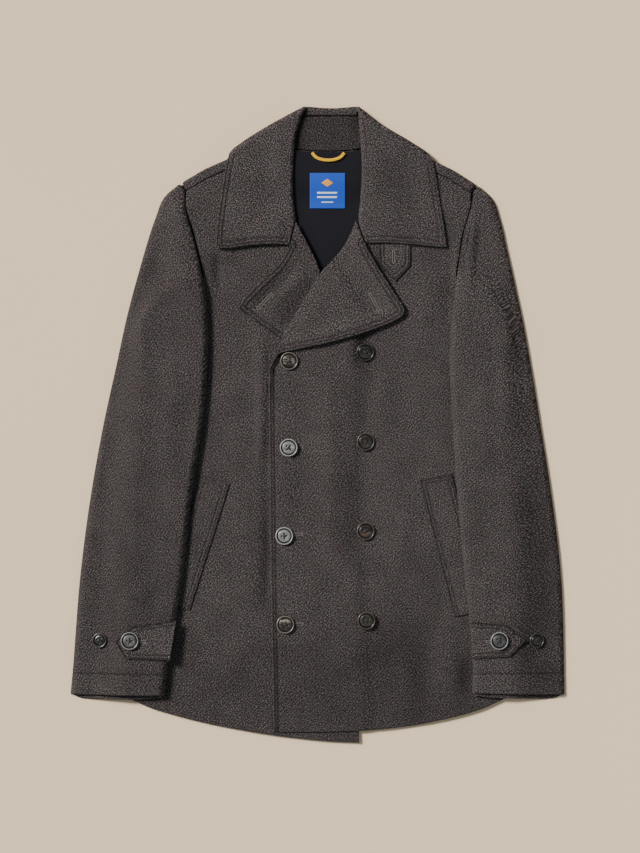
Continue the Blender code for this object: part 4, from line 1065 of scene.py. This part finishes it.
def sew(name, lines, material, stitch, turn=0.0):
    """Stitches along lines of x, y, z points, as one plain mesh."""
    edges = []
    for line in lines:
        first = edges[-1][1] + 1 if edges else 0
        edges += [(first + k, first + k + 1) for k in range(len(line) - 1)]
    mesh = bpy.data.meshes.new(name + "_line")
    mesh.from_pydata((np.concatenate(lines) * MM).tolist(), edges, [])
    guide = put(name + "_line", mesh)
    rows = guide.modifiers.new("stitches", "NODES")
    rows.node_group = bpy.data.node_groups.get("row_of_stitches") or stitch_tree()
    values = dict(zip(("Spacing", "Stitch length", "Thread"), np.array(stitch) * MM))
    values.update(Turn=turn, Finish=material)
    for item in rows.node_group.interface.items_tree:
        if item.in_out == "INPUT" and item.name in values:
            rows[item.identifier] = values[item.name]
    dress(put(name, evaluated(guide)), material)


def on_cloth(piece, line, sink=0.1):
    """The line's points on the piece's upper face; those that miss it are left out."""
    z = top_of(piece, *np.transpose(line))
    keep = ~np.isnan(z)
    return np.column_stack([np.array(line)[keep], z[keep] - sink])


TOPSTITCHED = (
    # name of the rows, piece, cut, edges in order, rows
    ("collar", "collar_fall", RIGHT_LEAF_CUT, ("low", "right"), EDGE_ROWS),
    ("collar", "collar_fall", LEFT_LEAF_CUT, ("low", "right"), EDGE_ROWS),
    ("lapel", "lapel_right", UNDER_LAPEL_CUT, ("-low", "left"), EDGE_ROWS),
    ("lapel", "lapel_left", OVER_LAPEL_CUT, ("low", "right"), EDGE_ROWS),
    ("front", "front_left", OVER_FRONT_CUT, ("left",), CLOSE_ROWS),
    ("front", "front_left", OVER_FRONT_CUT, ("low",), HEM_ROWS),
    ("front", "front_right", UNDER_FRONT_CUT, ("low",), HEM_ROWS),
    *[(name.replace("cuff_", "").rsplit("_", 1)[0], name, FLAP_CUTS[name], sides, FLAP_ROWS)
      for name, sides in (("pocket_welt_right", ("left", "top", "-right")),
                          ("pocket_welt_left", ("-left", "top", "-right")),
                          ("throat_tab", ("-left", "low", "right")),
                          ("cuff_tab_right", ("low", "right", "-top")),
                          ("cuff_tab_left", ("low", "right", "-top")))],
)


def sew_rows(thread):
    lines = {}
    for group, piece, cut, sides, rows_at in TOPSTITCHED:
        for at in rows_at:
            row = stitched_row(cut, sides, at)
            if rows_at is CLOSE_ROWS:
                row = row[row[:, 1] < CLOSING_STITCH_TOP]
            lines.setdefault(group, []).append(on_cloth(piece, row))
    for side, (low, high, *_) in SLEEVES.items():
        low, high = np.array(low), np.array(high)
        share = CUFF_ROW / (high[1] - low[1])
        row = low * (1 - share) + high * share
        t = np.linspace(0.05, 0.97, 90)[:, None]
        line = row[:2] * (1 - t) + row[2:4] * t
        lines.setdefault("cuff", []).append(on_cloth(f"sleeve_{side}_upper", line))
    for group, rows in lines.items():
        sew("topstitch_" + group, [row for row in rows if len(row) > 1], thread, TOPSTITCH)


BUTTONHOLES = (
    # piece, start x, y, end x, y, radius of the eyelet at the end
    ("lapel_left", 67.5, 170, 79, 149, 2.1),
    ("lapel_right", -59, 170, -77, 151, 2.1),
    ("throat_tab", 98.6, 226, 98.6, 211, 1.6),
    ("front_left", -19, -29, -36, -29.5, 1.0),
    ("front_left", -19, -142, -36, -143.5, 1.0),
    ("front_left", -19, -259, -36, -259.5, 1.0),
    ("cuff_tab_right", -222.5, -281, -236, -281, 1.0),
    ("cuff_tab_left", 218.5, -281, 232, -281, 1.0),
)
HOLE_LIP = 1.3  # half width of a buttonhole's sewn edge
BAR_TACK = ("pocket_welt_right", (-147, -66), (-141.5, -68.2))


def sew_buttonholes(thread, tone, dark):
    across = math.pi / 2  # stitches that lie across their line
    for k, (piece, x0, y0, x1, y1, eyelet) in enumerate(BUTTONHOLES, 1):
        start, end = np.array([x0, y0]), np.array([x1, y1])
        length = np.linalg.norm(end - start)
        ahead = (end - start) / length
        side = np.array([-ahead[1], ahead[0]])
        t = np.linspace(0, length - eyelet, 14)[:, None]
        turn = math.asin(min(HOLE_LIP / eyelet, 1.0))
        a = np.linspace(turn, 2 * math.pi - turn, 18)[:, None]
        outline = np.concatenate([
            start + ahead * t + side * HOLE_LIP,
            end + (side * np.sin(a) - ahead * np.cos(a)) * eyelet,
            start + ahead * t[::-1] - side * HOLE_LIP,
        ])
        bar = start + side * np.linspace(-1.7, 1.7, 5)[:, None]
        slit = start + ahead * np.linspace(0.4, length, 16)[:, None]
        sew(f"buttonhole_{k}", [on_cloth(piece, outline, -0.1)], thread, HOLE_EDGE, across)
        sew(f"buttonhole_bar_{k}", [on_cloth(piece, bar, -0.25)], thread, HOLE_BAR, across)
        # A dark thread along the slit: painted shade of the open cut.
        sew(f"buttonhole_slit_{k}", [on_cloth(piece, slit, -0.02)], dark, HOLE_SLIT_SHADE)
    piece, start, end = BAR_TACK
    sew("bar_tack_1", [on_cloth(piece, np.linspace(start, end, 8), -0.15)], tone, TACK, across)


# --- Hanger loop and buttons ---


def tube(line, flat, high, sides, tip=1.0):
    """Corners and faces of a round cord along a line. flat, on the line's right, and high reach from
    it to its sides, and tip is how large its two ends are."""
    size = np.ones((len(line), 1, 1))
    size[[0, -1]] = tip
    a = np.arange(sides)[None, :, None] * 2 * math.pi / sides
    verts = line[:, None] + size * (flat[:, None] * np.cos(a) + high[:, None] * np.sin(a))
    index = np.arange(len(line) * sides).reshape(-1, sides)
    beside = np.roll(index, -1, axis=1)
    faces = np.stack([index[:-1], index[1:], beside[1:], beside[:-1]], axis=2).reshape(-1, 4)
    return verts.reshape(-1, 3), faces.tolist() + [index[0].tolist(), index[-1, ::-1].tolist()]


def cords(name, tubes):
    """A piece of several tubes."""
    verts, faces = [], []
    for corners, sides in tubes:
        faces += [[len(verts) + k for k in face] for face in sides]
        verts += corners.tolist()
    return solid(name, verts, faces)


def make_loop(cord):
    """The hanger loop: a cord of three plaited strands whose ends go into the neck seam."""
    route = through(LOOP_ROUTE, np.linspace(0, len(LOOP_ROUTE) - 1, 150))
    base = NECK_STEP + WOOL + LINING_RISE + LINING + SEAM + 0.5
    strands = []
    for strand in range(3):
        phase = run_of(route) / 9.0 * 2 * math.pi + strand * 2 * math.pi / 3
        across, up = np.sin(phase) * 1.15, np.sin(2 * phase) * 0.55 + LOOP_HIGH / 2
        line = np.column_stack([route + inward(route) * across[:, None], base + up])
        ahead = unit(np.gradient(line, axis=0))
        flat = unit(np.cross(ahead, [0, 0, 1]))
        strands.append(tube(line, flat * 1.1, np.cross(flat, ahead) * 0.9, 8, 0.05))
    dress(cords("hanger_loop_cord", strands), cord, "hanger_loop")


BUTTON, SPARE_BUTTON = 23.0, 19.0  # across: 36 ligne, and 30
BUTTON_THICK = 3.6
BUTTON_RIM = 0.8  # radius of the rolled rim
HOLE_ACROSS = 2.2
HOLE_OUT = 2.3  # a hole's centre from the middle, along each of two sides


def meshed(name, bm):
    mesh = bpy.data.meshes.new(name)
    bm.to_mesh(mesh)
    bm.free()
    return put(name, mesh)


def button_mesh(across):
    """A turned button: rounded back, raised rolled rim, a groove inside it, four bevelled holes."""
    r = across / 2
    rim = BUTTON_RIM
    groove = r - 2 * rim
    profile = [(0.0, 0.25), (r - 3.6, 0.0), (r - 1.7, 0.15)]
    profile += [(r - 1.35 + 1.35 * math.sin(a), 1.45 - 1.3 * math.cos(a))
                for a in np.linspace(0.5, 1.57, 6)]
    profile += [(r - rim + rim * math.cos(a), BUTTON_THICK - rim + rim * math.sin(a))
                for a in np.linspace(0.1, math.pi * 0.95, 10)]
    profile += [(groove - 0.15, 1.75), (groove - 0.75, 1.6), (groove - 1.3, 1.9),
                (groove - 1.65, 2.5), (groove - 2.0, 2.7), (r * 0.45, 2.78), (r * 0.3, 2.7),
                (0.0, 2.66)]
    bm = bmesh.new()
    verts = [bm.verts.new((x, 0, z)) for x, z in profile]
    lines = [bm.edges.new(pair) for pair in zip(verts, verts[1:])]
    bmesh.ops.spin(bm, geom=verts + lines, cent=(0, 0, 0), axis=(0, 0, 1), angle=2 * math.pi,
                   steps=48, use_merge=True)
    bmesh.ops.remove_doubles(bm, verts=bm.verts, dist=1e-3)
    bmesh.ops.recalc_face_normals(bm, faces=bm.faces)
    button = meshed("button_blank", bm)
    bm = bmesh.new()
    hole = HOLE_ACROSS / 2
    for x, y in ((1, 1), (-1, 1), (-1, -1), (1, -1)):
        for low, high, depth, z in ((hole, hole, 12, 0), (hole - 0.1, hole + 1.0, 1.2, 2.95)):
            made = bmesh.ops.create_cone(bm, cap_ends=True, segments=14, radius1=low, radius2=high,
                                         depth=depth)
            bmesh.ops.translate(bm, vec=(x * HOLE_OUT, y * HOLE_OUT, z), verts=made["verts"])
    drill = meshed("drill", bm)
    cut = button.modifiers.new("holes", "BOOLEAN")
    cut.object, cut.operation, cut.solver, cut.use_self = drill, "DIFFERENCE", "EXACT", True
    mesh = evaluated(button)
    bpy.data.objects.remove(drill)
    mesh.materials.clear()
    mesh.shade_smooth()
    mesh.set_sharp_from_angle(angle=math.radians(50))
    # Masks of the painted shade in the groove and the painted highlight on the rim.
    groove_shade_layer = mesh.attributes.new("groove", "FLOAT", "POINT")
    painted_shading = mesh.attributes.new("rim", "FLOAT", "POINT")
    for vert, in_groove, on_rim in zip(mesh.vertices, groove_shade_layer.data, painted_shading.data):
        out, z = math.hypot(vert.co.x, vert.co.y), vert.co.z
        in_groove.value = groove - 1.8 < out < groove + 0.3 and 1.2 < z < 2.6
        on_rim.value = groove + 0.3 < out < r - 0.15 and z > BUTTON_THICK - 0.75
    return mesh


BUTTONS = (
    # name, the cloth it lies on, finish, tilt about X and Y in degrees, turn
    ("right_1", "front_left", "brown", 3.0, 4.0, 0.3),
    ("right_2", "front_left", "grey", -1.0, -2.0, 0.1),
    ("right_3", "front_left", "grey", -1.5, -2.5, 0.9),
    ("right_4", "front_left", "brown", 1.0, 1.5, 0.5),
    ("left_1", "front_left", "dark", 5.0, 9.0, 0.2),
    ("left_2", "front_left", "olive", 1.0, 5.0, 1.1),
    ("left_3", "front_left", "chestnut", 0.0, 4.0, 0.6),
    ("left_4", "front_left", "olive", 1.0, 2.0, 0.0),
    ("cuff_right", "cuff_tab_right", "pewter", -1.0, -1.0, 0.7),
    ("cuff_left", "cuff_tab_left", "slate", 1.0, 1.0, 0.2),
    ("spare_right", "sleeve_right_upper", "dark", 0.0, 0.0, 0.4),
    ("spare_left", "sleeve_left_upper", "dark", 0.0, 0.0, 0.9),
)


def button_threads(name):
    """Four threads that arch between the holes, two on each diagonal."""
    threads = []
    t = np.linspace(0, 1, 7)[:, None]
    for turn in (-1, 1):
        for off in (-0.42, 0.42):
            start = np.array([-turn * HOLE_OUT + off, -HOLE_OUT - off * turn, 1.9])
            end = np.array([turn * HOLE_OUT + off, HOLE_OUT - off * turn, 1.9])
            line = start * (1 - t) + end * t
            line[:, 2] += (1.25 + 0.3 * turn) * np.sin(math.pi * t[:, 0]) ** 0.6
            right = unit(np.cross([end - start], [0, 0, 1])) * 0.425
            threads.append(tube(line, right, np.array([[0, 0, 0.425]]), 6))
    return cords(name, threads)


def make_buttons(horns, thread):
    blanks = {across: button_mesh(across) for across in (BUTTON, SPARE_BUTTON)}
    for name, cloth, horn, tilt_x, tilt_y, turn in BUTTONS:
        node = "button_" + name
        low, high = (np.array(corner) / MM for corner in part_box(node))
        across = SPARE_BUTTON if "spare" in node else BUTTON
        x, y = (low[:2] + high[:2]) / 2
        a = np.arange(0, 6.2, math.pi / 4)
        reach = 0.44 * across
        z = top_of(cloth, np.append(x, x + reach * np.cos(a)), np.append(y, y + reach * np.sin(a)))
        z = np.where(np.isnan(z), np.nanmax(z), z)
        tilt = (Matrix.Rotation(math.radians(tilt_x), 4, "X")
                @ Matrix.Rotation(math.radians(tilt_y), 4, "Y"))
        base = z.max() if "cuff" in node else (z.mean() + z.max()) / 2
        if "spare" in node:
            tilt = Matrix.Rotation(-math.atan((z[1] - z[5]) / (2 * reach)), 4, "Y")
            base = z[0]
        lift = across / 2 * math.sin(math.radians(max(abs(tilt_x), abs(tilt_y)))) * 0.7
        place = (Matrix.Translation(Vector((x, y, base + SEAM + lift)) * MM) @ tilt
                 @ Matrix.Rotation(turn, 4, "Z"))
        piece = put(node + "_horn", blanks[across].copy())
        piece.data.transform(place @ Matrix.Scale(MM, 4))
        dress(piece, horns[horn], node)
        piece = button_threads(node + "_thread")
        piece.data.transform(place)
        dress(piece, thread)


# --- Finishes ---


def hexa(code):
    """Linear colour of an sRGB hex value."""
    parts = [int(code[k : k + 2], 16) / 255 for k in (1, 3, 5)]
    return (*[p / 12.92 if p <= 0.04045 else ((p + 0.055) / 1.055) ** 2.4 for p in parts], 1.0)


def add(tree, kind, sockets=None, stops=(), **settings):
    """A node with its settings. sockets gives an input, by name or number, a value, an output or a
    node, for that node's first output; stops are a ramp's places and colours."""
    made = tree.nodes.new(kind)
    for key, value in settings.items():
        setattr(made, key, value)
    for key, value in (sockets or {}).items():
        if isinstance(value, bpy.types.Node):
            value = value.outputs[0]
        if isinstance(value, bpy.types.NodeSocket):
            tree.links.new(value, made.inputs[key])
        else:
            made.inputs[key].default_value = value
    for _ in stops[2:]:
        made.color_ramp.elements.new(0.5)
    for k, (at, colour) in enumerate(stops):
        point = made.color_ramp.elements[k]
        point.position, point.color = at, hexa(colour)
    return made


def empty(name):
    """A new material without nodes, and the function that adds one to it."""
    made = bpy.data.materials.new(name)
    made.use_nodes = True
    tree = made.node_tree
    tree.nodes.clear()
    return made, lambda kind, *given, **more: add(tree, "ShaderNode" + kind, *given, **more)


def finish(node, colour, roughness, bump=None, more=None):
    """The surface, with the height, strength and depth of its bump."""
    sockets = {"Base Color": colour, "Roughness": roughness, **(more or {})}
    if bump:
        sockets["Normal"] = node("Bump", dict(zip(("Height", "Strength", "Distance"), bump)))
    node("OutputMaterial", {"Surface": node("BsdfPrincipled", sockets)})


def wool_coating(name, twill, fibres):
    """Milled and napped heather wool twill: a matt cloth of dark, grey and taupe fibres, with soft
    diagonal wales. The wales are 3.6 mm apart and the flecks about 2 mm long, twice the real ones,
    so that they show."""
    made, node = empty(name)
    grain = node("UVMap", uv_map="grain")

    def turned(degrees, wide, high):
        return node("Mapping", {"Vector": grain, "Rotation": (0, 0, math.radians(degrees)),
                                "Scale": (wide, high, 1)}, vector_type="TEXTURE")

    yarn = node("TexNoise", {"Vector": turned(47, 2.1, 1.1), "Scale": 1.0, "Detail": 2.0})
    fleck = node("TexNoise", {"Vector": turned(-38, 1.5, 1.35), "Scale": 1.0, "Detail": 3.0,
                              "Roughness": 0.65})
    wales = node("TexWave", {"Vector": turned(47, 1, 1), "Scale": 0.314 / 3.6, "Distortion": 1.4,
                             "Detail": 1.0, "Detail Scale": 12.0}, bands_direction="Y")
    heather = node("Math", {0: yarn, 1: 0.17 * twill}, operation="MULTIPLY")
    for part, weight in ((fleck, 1 - 0.2 * twill), (wales.outputs["Fac"], 0.03 * twill)):
        heather = node("Math", {0: part, 1: weight, 2: heather}, operation="MULTIPLY_ADD")
    colour = node("ValToRGB", {"Fac": heather}, list(zip((0.365, 0.5, 0.635), fibres)))
    # Faint clouds over it: warmer and cooler wool, and worn and fresh nap.
    for scale, stops in ((0.07, [(0.36, "#f3f6ee"), (0.5, "#f9f7f5"), (0.64, "#fdf3f1")]),
                         (1 / 38, [(0.38, "#f0efef"), (0.62, "#ffffff")])):
        cloud = node("TexNoise", {"Vector": grain, "Scale": scale, "Detail": 2.0})
        tint = node("ValToRGB", {"Fac": cloud}, stops)
        colour = node("Mix", {0: 1.0, 6: colour, 7: tint}, data_type="RGBA",
                      blend_type="MULTIPLY").outputs[2]
    # Towards near black: painted shade, and the furrows' pressed nap with painted shade in them.
    furrow_and_shade = node("Attribute", attribute_name="furrow_and_shade").outputs["Fac"]
    shade = node("Math", {0: furrow_and_shade, 1: 0.8}, operation="MULTIPLY")
    colour = node("Mix", {0: shade, 6: colour, 7: hexa("#0c0a0a")}, data_type="RGBA").outputs[2]
    finish(node, colour, 0.95, (heather, 0.3, 0.001),
           {"Specular IOR Level": 0.15, "Sheen Weight": 0.04, "Sheen Roughness": 0.5,
            "Sheen Tint": hexa("#b8a9a2")})
    return made


def plain(name, scale, low, high, roughness, bump=None, more=None, at=0.35):
    """A finish of two close tones, mixed by a fine noise whose scale is in cells to the metre."""
    made, node = empty(name)
    place = node("TexCoord").outputs["Object"]
    cells = node("Mapping", {"Vector": place, "Scale": scale})
    noise = node("TexNoise", {"Vector": cells, "Scale": 1.0, "Detail": 1.0})
    colour = node("ValToRGB", {"Fac": noise}, [(at, low), (1 - at, high)])
    finish(node, colour, roughness, bump and (noise, *bump), more)
    return made


def plain_thread(name, low, high):
    """Corespun polyester sewing thread: a fine twist with a slight sheen."""
    return plain(name, (1400,) * 3, low, high, 0.7, None, {"Sheen Weight": 0.2})


def woven(name, low, high, across, rough=0.6):
    """Damask label or cord thread: fine ribs of polyester yarn, `across` millimetres apart."""
    made, node = empty(name)
    place = node("TexCoord").outputs["Object"]
    ribs = node("TexWave", {"Vector": place, "Scale": 314 / across, "Distortion": 1.0,
                            "Detail": 1.0}, bands_direction="DIAGONAL").outputs["Fac"]
    grit = node("TexNoise", {"Vector": place, "Scale": 900.0, "Detail": 2.0})
    grit = node("Math", {0: grit, 1: 0.55}, operation="MULTIPLY")
    relief = node("Math", {0: ribs, 1: 0.45, 2: grit}, operation="MULTIPLY_ADD")
    colour = node("ValToRGB", {"Fac": relief}, [(0.3, low), (0.7, high)])
    finish(node, colour, rough, (relief, 0.3, 0.0004), {"Sheen Weight": 0.1})
    return made


def horn(name, dark, mid, pale, rim, rough=0.3):
    """Polished imitation horn (polyester resin): streaky, clouded layers under a clear gloss."""
    made, node = empty(name)
    place = node("TexCoord").outputs["Object"]
    streaks = node("Mapping", {"Vector": place, "Rotation": (0, 0, 0.6), "Scale": (70, 190, 120)})
    cloud = node("TexNoise", {"Vector": streaks, "Scale": 1.0, "Detail": 4.0, "Distortion": 0.8})
    colour = node("ValToRGB", {"Fac": cloud}, [(0.36, dark), (0.52, mid), (0.68, pale)])
    # Painted shade in the groove, near black, and a painted highlight on the rim.
    for part, tone in (("groove", "#080706"), ("rim", rim)):
        share = node("Attribute", attribute_name=part).outputs["Fac"]
        colour = node("Mix", {0: share, 6: colour, 7: hexa(tone)}, data_type="RGBA").outputs[2]
    wear = node("TexNoise", {"Vector": place, "Scale": 1500.0, "Detail": 2.0})
    finish(node, colour, rough, (wear, 0.08, 0.0002),
           {"IOR": 1.55, "Specular IOR Level": 0.6, "Coat Weight": 0.25, "Coat Roughness": 0.25})
    return made


# The streaks' dark, middle and pale tones, the rim's painted highlight tone and, where it isn't 0.3,
# the roughness. Grey, pewter and slate are the dark horn painted lighter: painted reflection.
HORNS = {
    "brown": ("#1c1713", "#40372f", "#8a7f72", "#6a6259"),
    "grey": ("#5c5b59", "#767573", "#8e8c8a", "#94928f", 0.34),
    "pewter": ("#3b3a39", "#524f4e", "#6c6a68", "#7d7b78", 0.32),
    "olive": ("#14120d", "#2a261d", "#453e30", "#46413a"),
    "slate": ("#2a2a2a", "#454444", "#5a5958", "#8a8885"),
    "chestnut": ("#1a120e", "#33261e", "#5f4a3c", "#4e433b"),
    "dark": ("#0e0c0a", "#1b1714", "#332b25", "#36312d"),
}


# --- Floor, light and camera ---

FLOOR_REACH = 6.0  # this and what follows in metres
FLOOR_Z = -0.0002
KEY_TOWARD = Vector((-0.67, 0.40, 0.70))
STRIPS = (("strip_left", (-3.2, 1.4, 1.5), 26), ("strip_right", (3.0, -1.6, 1.4), 20))
EYE = (0.00325, -0.0026, 5.0)
VIEW_HIGH = 1.1089  # the view's height on the floor
SENSOR = 36.0


def set_stage():
    corners = [(x * FLOOR_REACH, y * FLOOR_REACH, FLOOR_Z)
               for x, y in ((-1, -1), (1, -1), (1, 1), (-1, 1))]
    mesh = bpy.data.meshes.new("floor")
    mesh.from_pydata(corners, [], [(0, 1, 2, 3)])
    # Pale matt paint on a smooth board, very slightly uneven in tone.
    mesh.materials.append(plain("painted_board", (3,) * 3, "#f4dab6", "#f6dcb8", 0.9, None,
                                {"Specular IOR Level": 0.1}, 0.3))
    put("floor", mesh)


def lamp(name, kind, place, **settings):
    """A lamp at a place that shines at the origin."""
    light = bpy.data.lights.new(name, kind)
    for key, value in settings.items():
        setattr(light, key, value)
    made = put(name, light)
    made.location = place
    made.rotation_mode = "QUATERNION"
    made.rotation_quaternion = Vector(place).to_track_quat("Z", "Y")


def set_light():
    world = bpy.context.scene.world = bpy.data.worlds.new("studio")
    world.use_nodes = True
    sky = world.node_tree.nodes["Background"]
    sky.inputs["Color"].default_value = (0.80, 0.91, 1.0, 1)
    sky.inputs["Strength"].default_value = 0.26
    lamp("key", "SUN", KEY_TOWARD * 3, energy=4.8, angle=math.radians(14), color=(1.0, 0.98, 0.955))
    for name, place, power in STRIPS:
        lamp(name, "AREA", place, shape="RECTANGLE", size=2.6, size_y=0.5, energy=power)


def set_camera():
    """Straight above the coat, so far that its layers' depth hardly moves the outline."""
    lens = bpy.data.cameras.new("camera")
    lens.sensor_width = SENSOR
    lens.lens = SENSOR * EYE[2] / VIEW_HIGH
    lens.clip_end = 100.0
    eye = bpy.context.scene.camera = put("camera", lens)
    eye.location = EYE


# --- The coat ---


def make_coat():
    twill = wool_coating("wool_coating_twill", 1.0, ("#0c0b0b", "#302c2d", "#857c7b"))
    felted = wool_coating("wool_coating_felted", 0.3, ("#0c0b0b", "#302c2d", "#877e7d"))
    horns = {name: horn("horn_" + name, *look) for name, look in HORNS.items()}
    thread = plain_thread("thread_tone", "#1b1716", "#3d3634")
    button_thread = plain_thread("thread_dark", "#15120f", "#2f2823")
    hole_thread = plain_thread("thread_buttonhole", "#635b58", "#8f8682")
    make_back(twill)
    # Viscose satin: a smooth, dense dark navy weave with a low soft sheen.
    satin = plain("lining_satin", (900, 2400, 900), "#141319", "#1b1a21", 0.6, (0.15, 0.0003),
                  {"Specular IOR Level": 0.12})
    make_lining(
        satin, woven("label_damask", "#003ca8", "#0050c0", 0.5),
        woven("label_orange", "#d08a2c", "#f0b25a", 0.6),
        woven("label_white", "#c8d4dc", "#eef4f6", 0.6),
    )
    make_loop(woven("cord_yellow", "#d09400", "#ffcc00", 1.1, 0.65))
    make_fronts(twill)
    make_lapels(felted)
    make_collar(felted)
    for make in (make_sleeve, make_under_sleeve):
        for side in ("right", "left"):
            make(side, twill)
    make_flaps({"twill": twill, "felted": felted})
    sew_rows(thread)
    sew_buttonholes(hole_thread, thread, button_thread)
    make_buttons(horns, button_thread)


make_coat()
set_stage()
set_light()
set_camera()
